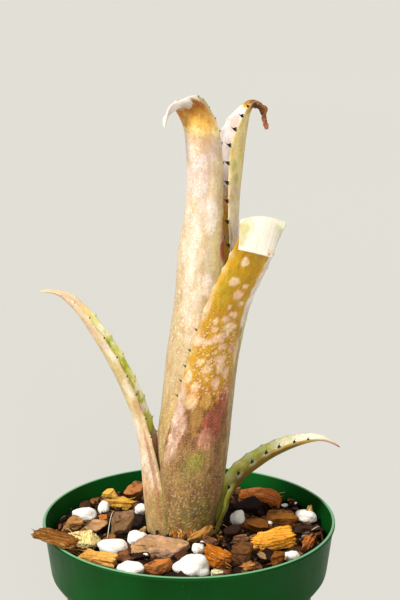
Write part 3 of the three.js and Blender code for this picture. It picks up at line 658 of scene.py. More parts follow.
# For each leaf: its teeth as (margin, length, width, colour, places), the ground colour and mottling
# of both faces, how far pale flecks cover it along and across, and from where it is crumpled. Its
# stations are (z, axis x, radius, facing, wrap) on the tube and then x, y, z, facing, half width,
# cup, roll and level, of which the last two are left out where they are 0.
LEAVES = [
    dict(
        name="tall_left", skin="pale", columns=84,
        teeth=[
            (1, 0.95, 2, THORN_DARK, [11.38, 11.16, 10.84, 10.44, 9.88, 9.3, 8.76, 8.3, 7.8, 7.3, 6.8,
             6.3]),
            (-1, 1.1, 1.3, THORN_BROWN, [10.4, 9.8, 9.2, 8.6, 8.1, 7.6, 7.1, 6.6]),
        ],
        mottle=([(0, 1), (4, 0.75), (6, 0.62), (9.4, 0.62), (10.3, 0.9), (11.5, 0.7), (11.7, 0.1)],
                [(11.5, 0.3), (11.7, 0.05)]),
        outer=[(0, OLIVE_TAN), (1.4, OCHRE_TAN), (2.6, BEIGE), (3.6, BEIGE), (4.6, CREAM_SHADE),
               (5.8, CREAM_SHADE), (7.2, PALE_CREAM), (8.4, PALE_ROSE), (9.2, PALE_ROSE), (9.6, PINK_CREAM),
               (10, BUTTER), (10.3, PALE_GOLD), (10.65, PALE_GOLD), (10.9, AMBER), (11.25, DEEP_AMBER),
               (11.5, DEEP_AMBER), (11.66, WHITE_PINK)],
        inner=[(0, OLIVE_TAN), (8, CREAM), (10.7, BUTTER), (10.95, AMBER), (11.5, DEEP_AMBER),
               (11.66, WHITE_PINK)],
        flecks=[(0, 0.36), (3.4, 0.38), (4.6, 0.36), (5.6, 0.42), (9.4, 0.46), (10, 0.36), (10.4, 0.12),
                (11.5, 0.1)],
        inner_flecks=0.6,
        fleck_sides=[(0.3, 1), (0.7, 0.62), (1, 0.5)],
        tube=[(LEAF_FOOT_Z, -0.3, 7.6, -60, 150), (90, -0.2, 8.3, -60, 148), (100, 0.3, 10.15, -60, 140),
              (117, 0.75, 12, -60, 130), (134, 2.45, 11.9, -60, 125), (152, 4.35, 11.9, -60, 118),
              (170, 5.3, 10.2, -60, 113), (188, 5.3, 8.8, -60, 111), (205, 6.3, 7.2, -60, 113),
              (222, 6.1, 6.9, -60, 113), (230, 5.2, 6.9, -61, 108)],
        stations=[(-1.5, -4, 235.1, -42, 10.1, 105, -10.4), (-2.9, -5, 236.6, -57, 4.9, 81, -16),
                  (-5.6, -6.7, 235.8, -62, 3.5, 35, -36), (-7.1, -8.7, 233.3, -66, 1.5, 50, -10),
                  (-7.3, -9, 231.2, -75, 0.6, 15)],
    ),
    dict(
        name="tall_right", skin="silver", columns=60,
        teeth=[
            (-1, 2.3, 2, THORN_DARK, [11.6, 10.96, 10.18, 9.3, 8.78, 8.4, 8.06, 7.64, 7.16, 6.7]),
            (1, 0.6, 1, THORN_PALE, [10.5, 9.8, 9.1, 8.4, 7.8, 7.2, 6.6]),
        ],
        mottle=([(0, 0.9), (6, 0.5), (8, 0.35), (9, 0.5)], [(0, 0.3)]),
        outer=[(0, OLIVE_TAN), (3, LILAC_BROWN), (5, TAN), (6.2, PINK_CREAM), (7.2, WHITE_PINK),
               (8.1, CREAM), (8.8, BUTTER), (11.2, BUTTER), (11.5, DRY_GOLD), (11.8, DRY_BROWN),
               (12.6, DRY_DARK), (13.4, DRY_BROWN), (14, DRY_RUST)],
        inner=[(0, DEEP_OLIVE), (5.5, SHADE_OCHRE), (7, SHADE_OCHRE), (7.15, PINK_CREAM),
               (7.3, SHADE_OCHRE), (7.7, SHADE_OCHRE), (7.85, PEACH), (8, PINK_CREAM), (8.3, LILAC_WHITE),
               (11.2, LILAC_WHITE), (11.5, BUTTER), (11.7, DRY_GOLD), (12, DRY_BROWN), (12.6, DRY_DARK),
               (13.6, DRY_BROWN), (15, DRY_RUST)],
        flecks=[(0, 0.3), (5, 0.36), (8, 0.33), (9, 0.25), (11.2, 0.2), (11.5, 0)],
        inner_flecks=0.5,
        crumple=(11.5, 0.85),
        tube=[(LEAF_FOOT_Z, -0.3, 6.3, 110, 140), (90, -0.2, 6.95, 110, 135), (100, 0.3, 8.75, 110, 120),
              (117, 0.75, 10.65, 110, 100), (134, 2.5, 10.6, 114, 80), (152, 4.8, 10.2, 118, 61),
              (170, 7, 9.5, 118, 62), (188, 8.9, 8.2, 112, 70), (205, 10.4, 7, 110, 82),
              (222, 12.2, 6.8, 110, 94), (229, 13.3, 6.5, 108, 86), (234.6, 14.9, 5.8, 106, 66)],
        stations=[(22.1, 1.6, 236.7, 100, 3.4, 56), (24.2, 0.8, 235.3, 100, 3.2, 80),
                  (25.1, 0, 231.9, 100, 0.7, 60), (25.8, -1, 229.4, 100, 0.3, 10)],
    ),
    dict(
        name="front", skin="olive", columns=84,
        teeth=[
            (-1, 1.5, 1.5, THORN_BROWN, [5.54, 5.18, 4.88, 4.58, 4.28]),
            (-1, 0.7, 1.6, THORN_PALE, [7.1, 6.7, 6.3, 5.9]),
            (1, 0.8, 1.8, THORN_PALE, [7.3, 6.9, 6.48, 6.1, 5.68, 5.3, 4.9]),
        ],
        mottle=([(3.4, 1), (4.4, 0.5), (7, 0.4)], [(0, 0.1)]),
        outer=[(0, OLIVE), (1, OLIVE_TAN), (2.3, LILAC_BROWN), (3, TAN), (3.5, BROWN), (4.1, BROWN),
               (4.4, AMBER), (4.8, GOLD), (7.6, GOLD), (8.2, AMBER), (8.7, PALE_GOLD), (9.3, GREEN_CREAM)],
        inner=[(0, TAN), (7, CREAM), (9.2, GREEN_CREAM), (10.2, FLAP_WHITE)],
        flecks=[(2.2, 0.36), (3, 0.3), (3.4, 0.18), (3.9, 0.2), (4.3, 0.4), (5.2, 0.44), (5.55, 0.42),
                (5.8, 0.34), (6.1, 0.28), (6.5, 0.1), (8, 0.04), (9, 0.1)],
        inner_flecks=0.3,
        fleck_sides=[(-1, 0.8), (-0.6, 1), (0.3, 1), (0.55, 0.45), (1, 0.3)],
        tube=[(LEAF_FOOT_Z, -0.3, 8.9, 32, 135), (90, -0.3, 9.7, 32, 122), (100, 0.45, 11.4, 32, 108),
              (117, 0.8, 13.25, 32, 82), (134, 2.5, 13.15, 32, 66), (152, 4.6, 13.3, 32, 53)],
        stations=[(15.2, -13.4, 170.3, 27, 9.6, 42), (21.1, -16, 186.4, 20, 8.2, 32),
                  (24.3, -18.5, 196.2, 14, 7.3, 22), (24.4, -20.6, 201.8, 12, 7.5, -10, 3),
                  (24.5, -24, 203.8, 10, 7.5, -42, 6), (23.6, -27.5, 200.9, 10, 6.7, -30, 2),
                  (21.8, -30.5, 193.7, 10, 5.5, -16, -4)],
    ),
    dict(
        name="low_left", skin="low", columns=56,
        teeth=[
            (1, 1, 1.2, THORN_BROWN, [10.1, 9.4, 8.6, 7.75, 7, 6.3, 5.65, 4.85, 4.2]),
            (-1, 1.3, 1.9, THORN_PALE, [9.85, 9.5, 8.5, 7.6, 6.9, 6.05, 5.35, 4.6, 4.05]),
        ],
        mottle=([(0, 1), (3.2, 0.85), (4.6, 0.5), (12, 0.4)], [(0, 0.2)]),
        outer=[(1.6, BEIGE), (2.6, PINK_CREAM), (4.4, PINK_CREAM), (5.2, CREAM_TAN), (7, CREAM_TAN),
               (8.6, PINK_CREAM), (10, PINK_CREAM), (12, CREAM)],
        inner=[(0, PINK_CREAM), (3.3, PINK), (3.7, PINK), (4.1, TAN), (4.28, YELLOW_GREEN),
               (4.7, YELLOW_GREEN), (4.84, BAND_CREAM), (5.12, BAND_CREAM), (5.2, LEAF_GREEN),
               (5.45, YELLOW_GREEN), (5.52, BAND_CREAM), (5.82, BAND_CREAM), (5.9, YELLOW_GREEN),
               (6.2, PALE_LIME), (6.42, YELLOW_GREEN), (6.55, LEAF_GREEN), (6.8, PALE_LIME),
               (7.1, YELLOW_GREEN), (7.25, GREEN_CREAM), (7.4, LEAF_GREEN), (7.7, YELLOW_GREEN),
               (7.95, BAND_CREAM), (8.3, PALE_LIME), (8.8, BUTTER), (9.3, PINK_CREAM)],
        flecks=[(0, 0.3), (3, 0.26), (8, 0.32), (12, 0.3)],
        inner_flecks=0.4,
        stations=[(-13.6, 0.4, LEAF_FOOT_Z, -92, 10.2, 100), (-15.3, 0.4, 88, -92, 11.25, 104),
                  (-16.3, 0.3, 100.6, -93, 11.25, 104), (-16.9, 0.3, 109.7, -94, 10.2, 100),
                  (-17.9, 0.4, 119, -96, 8.8, 92), (-20.1, 0.6, 128.6, -97, 8, 92),
                  (-24, 0.9, 138.8, -98, 7.5, 94), (-28.5, 1.3, 148.2, -98, 7.1, 94),
                  (-33.6, 1.8, 157.1, -99, 6.2, 92), (-38.7, 2.4, 164.9, -100, 4.9, 88),
                  (-43.8, 3, 170.1, -101, 3, 70), (-48, 3.5, 171.8, -102, 1.5, 40),
                  (-51.5, 4, 171.8, -102, 0.6, 20)],
    ),
    dict(
        name="low_right", skin="low", columns=52,
        teeth=[
            (-1, 2, 2.1, THORN_DARK, [3.9, 4.9, 5.85, 6.8, 7.55, 8.4, 9.2]),
            (1, 0.7, 1.9, THORN_PALE, [4.95, 5.75, 6.75, 7.45, 8.15, 8.85, 9.6, 10.35]),
        ],
        mottle=([(0, 0.5), (4, 0.2)], [(0, 0.2)]),
        outer=[(0, OLIVE_TAN), (2, MOSS), (3.2, OLIVE), (4.5, DEEP_OLIVE), (6, OLIVE), (8.2, OLIVE),
               (9.2, OCHRE_TAN), (10.2, PINK_CREAM), (11.4, PINK), (11.8, DRY_RUST), (12, DRY_DARK)],
        inner=[(0, MOSS), (2, YELLOW_GREEN), (3.6, YELLOW_GREEN), (4.1, PALE_LIME), (4.5, PALE_LIME),
               (4.9, YELLOW_GREEN), (5.2, PALE_LIME), (5.5, YELLOW_GREEN), (5.8, PALE_GREEN),
               (6.2, YELLOW_GREEN), (6.6, PALE_GREEN), (7, YELLOW_GREEN), (7.4, PALE_GREEN),
               (7.8, PALE_LIME), (8.2, PALE_GREEN), (8.7, SCURF), (9.6, SCURF), (10.4, PINK_CREAM),
               (11.4, PINK), (11.8, DRY_RUST), (12, DRY_DARK)],
        flecks=[(0, 0.03), (6, 0.04), (9, 0.1), (10, 0.3), (12, 0)],
        inner_flecks=7,
        stations=[(9.6, 1.6, LEAF_FOOT_Z, 98, 6, 34), (10.8, 1.7, 86, 98, 7, 38),
                  (13.8, 2, 93.5, 98, 7.6, 42), (14.6, 2.4, 96.8, 99, 7.5, 52),
                  (16.6, 3, 100.1, 101, 7.3, 68), (20.3, 3.6, 104.3, 103, 7.1, 82),
                  (25, 4.2, 108, 105, 6.8, 88), (29.9, 4.8, 111.2, 106, 6.1, 88),
                  (35.6, 5.3, 114, 107, 5.2, 82), (41.3, 5.7, 116, 108, 4.1, 68),
                  (46.3, 6, 116.8, 109, 2.8, 48), (50.3, 6.2, 115.8, 110, 1.5, 32),
                  (53.5, 6.3, 113.9, 110, 0.6, 20)],
    ),
]

# Blots of colour: t, v, length along the leaf, width across it, colour, strength. Sizes in mm.
OUTER_BLOTS = {
    "tall_left": [
        (2.6, 0.05, 40, 5, OLIVE_TAN, 0.35), (3.6, 0.16, 26, 5, OCHRE_TAN, 0.35),
        (8.3, 0.85, 28, 8, BUTTER, 0.55), (9.6, 0.5, 10, 8, OCHRE_TAN, 0.3),
        (6.9, 0.86, 30, 6, BUTTER, 0.6), (7.1, 0.3, 20, 9, WHITE_PINK, 0.5),
        (6.1, 0.3, 26, 8, WHITE_PINK, 0.4), (9.2, 0.2, 6, 5, PEACH, 0.35),
        (8.7, 0.62, 7, 4, PALE_MAUVE, 0.4), (8, 0.15, 8, 5, BUTTER, 0.25),
        (7.4, 0.55, 9, 4, CREAM_TAN, 0.45), (7.8, 0.64, 13, 5, WHITE_PINK, 0.9),
        (6.4, 0.62, 9, 4, WHITE_PINK, 0.8), (5.3, 0.42, 20, 5, PINK_CREAM, 0.45),
        (4.8, 0.5, 18, 5, OCHRE_TAN, 0.3), (7.1, 0.97, 12, 2.6, RED_MARGIN, 0.9),
        (7.55, 0.98, 8, 1.6, PINK, 0.7), (11.25, 0, 5, 8, AMBER, 0.7),
        (10.3, 0.98, 5, 1.8, BUTTER, 0.5), (11.35, 0.45, 5, 7, BROWN, 0.35),
        (10.55, 0.1, 6, 4, OCHRE_TAN, 0.5), (10.3, 0.62, 6, 4, OCHRE_TAN, 0.5),
    ],
    "tall_right": [
        (9.9, -0.93, 30, 2, DRY_GOLD, 0.3), (8.72, -0.84, 3.4, 1.8, LEAF_GREEN, 0.6),
        (8.45, -0.72, 3.6, 2.2, LEAF_GREEN, 0.55), (8.95, -0.62, 4, 1.6, YELLOW_GREEN, 0.6),
        (8.25, -0.8, 4, 4, PINK_CREAM, 0.7), (8.1, -0.93, 3, 3, DRY_GOLD, 0.6),
        (7.3, -0.7, 22, 4, PINK_CREAM, 0.6), (7.3, -0.97, 14, 1.6, OLIVE, 0.7),
        (11.45, -0.8, 3, 3, DRY_GOLD, 0.7),
    ],
    "front": [
        (7.55, 0.3, 12, 6, PALE_GOLD, 0.45), (6.4, -0.55, 14, 5, LEAF_GREEN, 0.22),
        (7.05, -0.32, 3.6, 3, PEACH, 1), (6.55, -0.4, 3.2, 3.8, PEACH, 1),
        (6.3, -0.02, 3.6, 3.8, PEACH_PINK, 0.95), (6.5, 0.15, 1.8, 2.4, PEACH, 0.9),
        (6.12, 0.22, 2.2, 2.6, PEACH, 0.9), (6.05, -0.17, 1.3, 1.3, PEACH, 0.9),
        (5.9, 0.05, 2.2, 3.6, PEACH_PINK, 1), (5.8, -0.18, 1.9, 3.8, PEACH_PINK, 1),
        (5.75, -0.52, 1.9, 2, PEACH, 1), (5.6, -0.47, 2, 2.4, PEACH, 1),
        (5.65, 0.05, 3.4, 5, PEACH, 1), (5.5, -0.1, 1.9, 3.8, PEACH_PINK, 0.95),
        (5.42, -0.3, 3, 4.6, PEACH_PINK, 1), (5.36, -0.62, 2.4, 4.4, PEACH_PINK, 0.95),
        (5.38, -0.9, 3.6, 3, PEACH_PINK, 1), (5.26, -0.08, 2.4, 4.4, PEACH_PINK, 0.95),
        (5.2, 0.3, 3, 3, PINK, 0.95), (5, -0.64, 2.4, 2.8, PEACH, 0.9),
        (5.03, -0.1, 3, 4.6, PEACH_PINK, 1), (4.85, -0.42, 3.2, 3.4, PEACH, 1),
        (4.85, -0.04, 4.2, 3.6, PEACH, 1), (4.72, 0.16, 4.4, 3, PEACH_PINK, 0.95),
        (4.55, -0.1, 4.6, 3, PEACH_PINK, 0.95), (4.5, -0.62, 3.4, 3.2, PEACH, 0.95),
        (4.7, -0.86, 4.6, 2.6, PEACH_PINK, 0.9), (4.2, -0.65, 6, 4.8, PEACH, 0.65),
        (4.2, -0.28, 6, 3.4, PALE_GOLD, 0.9), (4.3, 0.24, 7, 3.4, PINK, 0.75),
        (4.1, 0.16, 9, 4.2, ROSE, 0.9), (3.7, -0.06, 11, 7.6, ROSE, 0.85),
        (3.4, -0.16, 8, 6.4, PINK, 0.6), (3.85, -0.45, 12, 4.4, OCHRE_TAN, 0.4),
        (4.1, -0.94, 18, 4.6, PALE_MAUVE, 0.8), (3.6, -0.8, 16, 5.6, PALE_MAUVE, 0.7),
        (3.2, -0.82, 14, 5, PALE_MAUVE, 0.5), (2.95, -0.6, 12, 6, BROWN, 0.45),
        (2.95, -0.27, 7, 6, LEAF_GREEN, 0.5), (2.8, -0.4, 9, 8, MOSS, 0.45),
        (2.7, 0.12, 24, 6, BROWN, 0.5), (1.5, -0.1, 14, 16, MOSS, 0.5),
        (3.2, 0.55, 50, 6, GREY_BEIGE, 0.9), (4.7, 0.66, 36, 6.4, GREY_BEIGE, 0.85),
        # The pale blots along the right margin, at v 0.92 to 0.98, are partly the margin's own scurf and
        # partly a painted highlight along the edge that turns away from the light.
        (5.6, 0.92, 28, 5.4, PALE_GREEN, 0.8), (5.75, 0.62, 8, 2.6, SCURF, 0.9),
        (6.1, 0.66, 7, 3.4, WHITE_PINK, 0.95), (6.4, 0.74, 7, 3.6, SCURF, 0.95),
        (6.5, 0.98, 26, 6.4, SCURF, 0.95), (7.5, 0.98, 18, 4.4, WHITE_PINK, 0.95),
        (5.1, 0.5, 9, 3, PEACH_PINK, 0.7), (5.9, -0.95, 10, 2.4, PINK_CREAM, 0.6),
        (6.6, -0.96, 20, 2.2, PALE_GOLD, 0.5),
    ],
    "low_left": [
        (7.55, 0.95, 3, 3.4, ROSE, 0.4), (7.3, 0.85, 8, 3, SCURF, 0.5),
        (5.9, 0.8, 7, 3, SCURF, 0.5), (5.3, 0.85, 6, 3, ROSE, 0.35),
        (4.6, 0.3, 14, 5, SCURF, 0.5), (3.4, 0.3, 14, 5, SCURF, 0.4),
        (3.2, 0.7, 12, 6, SCURF, 0.4), (2.4, 0.8, 44, 1.5, ROSE, 0.6),
        (1.9, 0.4, 20, 6, PINK, 0.3), (2.9, -0.1, 18, 6, PALE_MAUVE, 0.55),
        (2.2, 0.98, 40, 1, YELLOW_GREEN, 0.35), (1.6, 0.7, 14, 6, TAN, 0.5),
        (1.2, 0.1, 14, 5, MOSS, 0.35),
    ],
    "low_right": [
        (5.2, -0.6, 12, 3, BROWN, 0.3), (8, -0.94, 16, 1, OCHRE_TAN, 0.5),
        (3.4, -0.9, 10, 2.4, YELLOW_GREEN, 0.6),
    ],
}

INNER_BLOTS = {
    "tall_right": [
        (10.25, 0.65, 6, 4, PINK, 0.45), (8.95, 0.3, 8, 3.4, PINK_CREAM, 0.4),
        (9.4, 0.1, 8, 4, WHITE_PINK, 0.8),
    ],
    "front": [
        # The green blots on the flap's left side are partly the leaf's own green and partly painted shade
        # where the curl turns from the light.
        (11.3, -0.92, 9, 4.8, FLAP_SHADE_GREEN, 0.6), (10.9, -0.7, 7, 5, FLAP_SHADE_GREEN, 0.35),
        (10.5, 0.9, 5, 4, PALE_GREEN, 0.5), (11.8, 0.8, 2, 2.2, PINK_CREAM, 0.5),
        (11.9, 0.78, 0.9, 1, DRY_BROWN, 0.6),
    ],
    "low_left": [
        (5.6, 0.9, 4, 2.4, GREEN_CREAM, 0.6),
    ],
    "low_right": [
        (5, -0.62, 30, 5, PALE_LIME, 0.85), (4.2, -0.6, 3.4, 3, BUTTER, 0.7),
        (5.6, -0.7, 3, 3.4, BUTTER, 0.7), (7.8, 0.5, 6, 4, SCURF, 0.7),
        (6.2, -0.5, 5, 4, LEAF_GREEN, 0.35), (4.7, 0.6, 4, 3, LEAF_GREEN, 0.3),
    ],
}


def eased(share):
    """share, kept from 0 to 1, with a soft start and end."""
    share = min(max(share, 0), 1)
    return share * share * (3 - 2 * share)


def gradient(stops, place):
    """The value at a place between stops of (place, value), each a number or each a colour."""
    for (low, first), (high, second) in zip(stops, stops[1:]):
        if place <= high:
            return first + (second - first) * eased((place - low) / (high - low))
    return stops[-1][1]


def painted(blots, stops, t, distance, v, half_width):
    """The ground colour at a place on the blade, with its blots laid over in order."""
    wobble = noise.noise(Vector((v * half_width * 0.7, distance * 0.45, 3.7)))
    fine = noise.noise(Vector((v * half_width * 1.5, distance * 1.1, 8.1)))
    shade = gradient(stops, t + PAINT_WOBBLE * (wobble + 0.6 * fine))
    ragged = 0.34 * wobble + 0.16 * fine
    for place, blot_v, length, width, tint, strength in blots:
        dy = (distance - place) / (length / 2)
        if abs(dy) < BLOT_REACH:
            dx = (v - blot_v) * half_width / (width / 2)
            shade = shade.lerp(tint, strength * eased((1.2 - math.hypot(dx, dy) - ragged) / BLOT_EDGE))
    return shade


def tooth(root, outward, forward, length, width, tint):
    """A hooked thorn that stands out of the margin and leans to the tip, darker at its point."""
    across = outward.cross(forward).normalized()
    rings, sides = 6, 6
    points, paint = [], []
    for k in range(rings):
        s = k / rings
        centre = root + outward * (length * s - TOOTH_SINK) + forward * (length * 0.6 * s * s)
        long_half = 0.5 * width * (1 - s) ** 1.9 + 0.07 * (1 - s)
        thick_half = 0.34 * (1 - 0.75 * s)
        for i in range(sides):
            angle = 2 * math.pi * i / sides
            points.append(centre + forward * (long_half * math.cos(angle))
                          + across * (thick_half * math.sin(angle)))
            paint.append(THORN_PALE.lerp(tint, min(1, s * 6 + 0.4)))
    tip = len(points)
    points.append(root + outward * (length - TOOTH_SINK) + forward * (length * 0.6))
    paint.append(tint)
    faces = ring_quads(rings, sides) + [list(range(sides))]
    last = (rings - 1) * sides
    faces += [[last + i, last + (i + 1) % sides, tip] for i in range(sides)]
    return points, faces, paint


def section_loop(columns):
    """The places round one section as (v, layer): outer face, margin, inner face, margin."""
    outer = [(2 * c / columns - 1, OUTER) for c in range(columns + 1)]
    return [*outer, (1, MARGIN), *[(-v, INNER) for v, _ in outer], (-1, MARGIN)]


def blade_faces(rows, columns, loop):
    """Quads along the blade, and the two ends that close it."""
    faces = ring_quads(rows + 1, loop)
    for first in (0, rows * loop):
        for c in range(columns):
            faces.append([first + c, first + c + 1, first + loop - 3 - c, first + loop - 2 - c])
        faces.append([first + columns, first + columns + 1, first + columns + 2])
        faces.append([first + loop - 1, first, first + loop - 2])
    return faces


def add_teeth(shape, leaf, stations):
    """The leaf's thorns, smaller where the leaf is narrow."""
    for edge, length, width, tint, places in leaf["teeth"]:
        for t in places:
            section = Section(stations, t)
            outward = section.outward(edge)
            root = section.at(edge, BLADE_THICKNESS / 2) + outward * TOOTH_BASE
            shrink = min(1, section.half_width / FULL_TOOTH_HALF_WIDTH)
            points, faces, paint = tooth(root, outward, section.forward, length * shrink,
                                         width * shrink, tint)
            bare = [0.0] * len(points)
            shape.add(points, faces, paint=paint, blade=points, mottle=bare, flecks=bare)


def make_blade(leaf, material):
    """One leaf: a closed blade with thin margins, raised tooth bases and hooked teeth."""
    name = leaf["name"]
    stations = [ring(*row) for row in leaf.get("tube", [])]
    # Each row is filled up to eight values with zeros, for the roll and level that it leaves out
    stations += [(*row, 0, 0)[:8] for row in leaf["stations"]]
    spans = len(stations) - 1
    length = sum((Vector(b[:3]) - Vector(a[:3])).length for a, b in zip(stations, stations[1:]))
    rows = round(length / BLADE_STEP)
    columns = leaf["columns"]
    sections = [Section(stations, spans * r / rows) for r in range(rows + 1)]
    distance = [0.0]
    for low, high in zip(sections, sections[1:]):
        distance.append(distance[-1] + (high.middle - low.middle).length)

    def distance_at(t):
        place = t / spans * rows
        i = min(int(place), rows - 1)
        return distance[i] + (distance[i + 1] - distance[i]) * (place - i)

    teeth = {edge: [distance_at(t) for kind in leaf["teeth"] if kind[0] == edge for t in kind[4]]
             for edge in (-1, 1)}
    blots = [[(distance_at(t), *blot) for t, *blot in on_face.get(name, [])]
             for on_face in (OUTER_BLOTS, INNER_BLOTS)]
    crumple_from, crumple_depth = leaf.get("crumple", (spans, 0))
    loop = section_loop(columns)
    points, paint, blade, mottle, flecks = [], [], [], [], []
    for r, section in enumerate(sections):
        t = spans * r / rows
        here = distance[r]
        tip_thin = min(1, (rows - r) / TIP_ROWS + TIP_THINNESS)
        crumple = crumple_depth * min(max((t - crumple_from) / CRUMPLE_EASE, 0), 1)
        bases = {edge: sum(math.exp(-((here - place) / TOOTH_BASE_LENGTH) ** 2) for place in places)
                 for edge, places in teeth.items()}
        for v, layer in loop:
            edge = 1 if v > 0 else -1
            thin = (BLADE_THICKNESS + (MARGIN_THICKNESS - BLADE_THICKNESS) * abs(v) ** 5) * tip_thin
            offset = thin / 2 * (-1, 1, 0)[layer]
            if abs(v) == 1:
                offset *= MARGIN_SHARE
            near_edge = max(0, (abs(v) - TOOTH_BASE_FROM) / (1 - TOOTH_BASE_FROM))
            push = TOOTH_BASE * near_edge * near_edge * bases[edge]
            if layer == MARGIN:
                push += MARGIN_REACH
            ripple = 0.07 * noise.noise(Vector((v * 6, here * 0.11, columns)))
            fold = crumple * noise.noise(Vector((v * 2.6, here * 0.9, 5.5)))
            points.append(section.at(v, BLADE_THICKNESS / 2 + offset) + section.outward(edge) * push
                          + section.face * (ripple + fold))
            face = INNER if layer == INNER else OUTER
            stops = (leaf["outer"], leaf["inner"])[face]
            shade = painted(blots[face], stops, t, here, v, section.half_width)
            paint.append(shade.lerp(GREEN_CREAM, 0.5 * min(1, near_edge * bases[edge])))
            blade.append((v * section.half_width, here + FACE_SHIFT * face, 0))
            mottle.append(gradient(leaf["mottle"][face], t))
            cover = gradient(leaf["flecks"], t) * gradient(leaf.get("fleck_sides", EVEN), v)
            flecks.append(cover * (leaf["inner_flecks"] if face == INNER else 1))
    shape = Shape()
    shape.add(points, blade_faces(rows, columns, len(loop)), paint=paint, blade=blade,
              mottle=mottle, flecks=flecks)
    add_teeth(shape, leaf, stations)
    shape.piece(f"blade_{name}", SLOT_OF[f"leaf_{name}"], material, f"leaf_{name}")


# Potting mix

def mix_level(x, y):
    dome = MIX_DOME * math.exp(-(x * x + y * y) / MIX_DOME_SPREAD)
    ripple = MIX_RIPPLE * math.sin(x * 0.31 + 1.1) * math.cos(y * 0.27 - 0.4)
    return MIX_LEVEL + dome + MIX_SLOPE * y + ripple


def inner_radius(z):
    """The pot's inner radius at a height."""
    if z > INNER_FOOT_Z:
        share = (z - INNER_FOOT_Z) / (POT_HEIGHT - LIP_RADIUS - INNER_FOOT_Z)
        return COLLAR_FOOT_RADIUS - WALL + (RIM_RADIUS - COLLAR_FOOT_RADIUS) * min(share, 1)
    return BASE_RADIUS - WALL + (BODY_TOP_RADIUS - BASE_RADIUS) * z / BODY_TOP_Z


def kept_inside(point):
    """point, moved in towards the axis where it would be in the pot's wall."""
    limit = inner_radius(point.z) - WALL_CLEARANCE
    reach = math.hypot(point.x, point.y)
    if reach <= limit:
        return point
    return Vector((point.x * limit / reach, point.y * limit / reach, point.z))


def inside_box(point):
    """point, kept a little inside the left side of the frame's own box."""
    return Vector((max(point.x, CAD_BOX[0][0] / MM + 0.1), point.y, point.z))


def placed(points, x, y, lift, turn, rise=0, bank=0):
    """Points of a loose piece, turned as it lies and set on the mix."""
    matrix = (Matrix.Rotation(math.radians(turn), 3, "Z")
              @ Matrix.Rotation(-math.radians(rise), 3, "Y")
              @ Matrix.Rotation(math.radians(bank), 3, "X"))
    base = Vector((x, y, mix_level(x, y) + lift))
    return [matrix @ p + base for p in points]


def lay(shape, points, faces, place, tint=None, grain=None, shift=0, keep=kept_inside):
    """Adds a form as it lies on the mix. A shift of its grain makes it differ from its neighbours."""
    values = {"local": [p + Vector((shift, 0, 0)) for p in grain or points]}
    if tint is not None:
        values["paint"] = [tint] * len(points)
    shape.add([keep(p) for p in placed(points, *place)], faces, **values)


def box_grid(cuts):
    """The surface of a unit box as a closed grid of quads, with cuts along each axis."""
    index, points, faces = {}, [], []

    def corner(key):
        if key not in index:
            index[key] = len(points)
            points.append(Vector([k / n - 0.5 for k, n in zip(key, cuts)]))
        return index[key]

    for axis, (a, b) in enumerate([(1, 2), (0, 2), (0, 1)]):
        for level in (0, cuts[axis]):
            for i in range(cuts[a]):
                for j in range(cuts[b]):
                    quad = []
                    for di, dj in ((0, 0), (1, 0), (1, 1), (0, 1)):
                        key = [level] * 3
                        key[a] = i + di
                        key[b] = j + dj
                        quad.append(corner(tuple(key)))
                    faces.append(quad)
    return points, faces


def random_outline(draw, corners):
    """An irregular convex outline in a square from -1 to 1, counterclockwise."""
    outline = []
    for k in range(corners):
        angle = 2 * math.pi * (k + draw.uniform(-0.28, 0.28)) / corners
        reach = draw.uniform(0.8, 1.05)
        outline.append((reach * math.cos(angle), reach * math.sin(angle)))
    return outline


def chip_planes(outline, draw):
    """The planes that bound a chip, as (normal, offset) in a box from -1 to 1, sides first."""
    planes = []
    for (x0, y0), (x1, y1) in zip(outline, outline[1:] + outline[:1]):
        side = Vector((y1 - y0, x0 - x1, 0)).normalized()
        offset = side.x * x0 + side.y * y0
        side.z = draw.uniform(-0.32, 0.4)
        planes.append((side, max(offset, 0.25)))
    for way in (-1, 1):
        slant = Vector((draw.uniform(-0.22, 0.22), draw.uniform(-0.26, 0.26), way))
        planes.append((slant, draw.uniform(0.7, 0.9)))
    return planes


def chip_base(size, seed, outline, step):
    """An angular chip with slightly worn edges: points, how much each is on a side, and faces."""
    draw = random.Random(seed)
    planes = chip_planes(outline or random_outline(draw, draw.choice((5, 6, 6, 7))), draw)
    points, faces = box_grid([max(3, round(s / step)) for s in size])
    shaped, sides = [], []
    for p in points:
        way = p * 2
        shares = [max(0, normal.dot(way) / offset) ** CHIP_CRISPNESS for normal, offset in planes]
        total = sum(shares)
        shaped.append(way * total ** (-1 / CHIP_CRISPNESS))
        sides.append(sum(shares[:-2]) / total)
    fit_box(shaped, size)
    return shaped, sides, faces


def bark_form(size, seed, outline=None, step=CHIP_STEP):
    """A plate of bark in thin layers, long along X, with shallow cracks on its faces."""
    shaped, sides, faces = chip_base(size, seed, outline, step)
    shift = Vector((seed * 7.3, seed * 3.1, seed * 5.7))
    layers = max(2, round(size[2] / BARK_LAYER))
    formed = []
    for p, side in zip(shaped, sides):
        here = p + shift
        layer = math.floor((p.z / size[2] + 0.5) * layers * 0.999)
        ledge = noise.noise(Vector((layer * 1.7, seed * 0.9, here.x * 0.1)))
        outward = Vector((p.x / size[0], p.y / size[1], 0)).normalized()
        worn = 0.5 * noise.noise(here * 0.42) + 0.22 * noise.noise(here * 1.1)
        crack = max(0, 1 - abs(noise.noise(Vector((here.x * 0.15, here.y * 0.75, 2.2)))) / 0.07)
        relief = 0.34 * noise.noise(Vector((here.x * 0.2, here.y * 0.5, 0.7)))
        relief += 0.12 * noise.noise(Vector((here.x * 0.6, here.y * 2.1, here.z))) - 0.28 * crack
        moved = p + outward * side * (0.5 * ledge + worn - 0.2)
        moved.z += math.copysign(1, p.z) * (1 - side) * relief + 0.08 * noise.noise(here * 2.4)
        formed.append(moved)
    return formed, faces


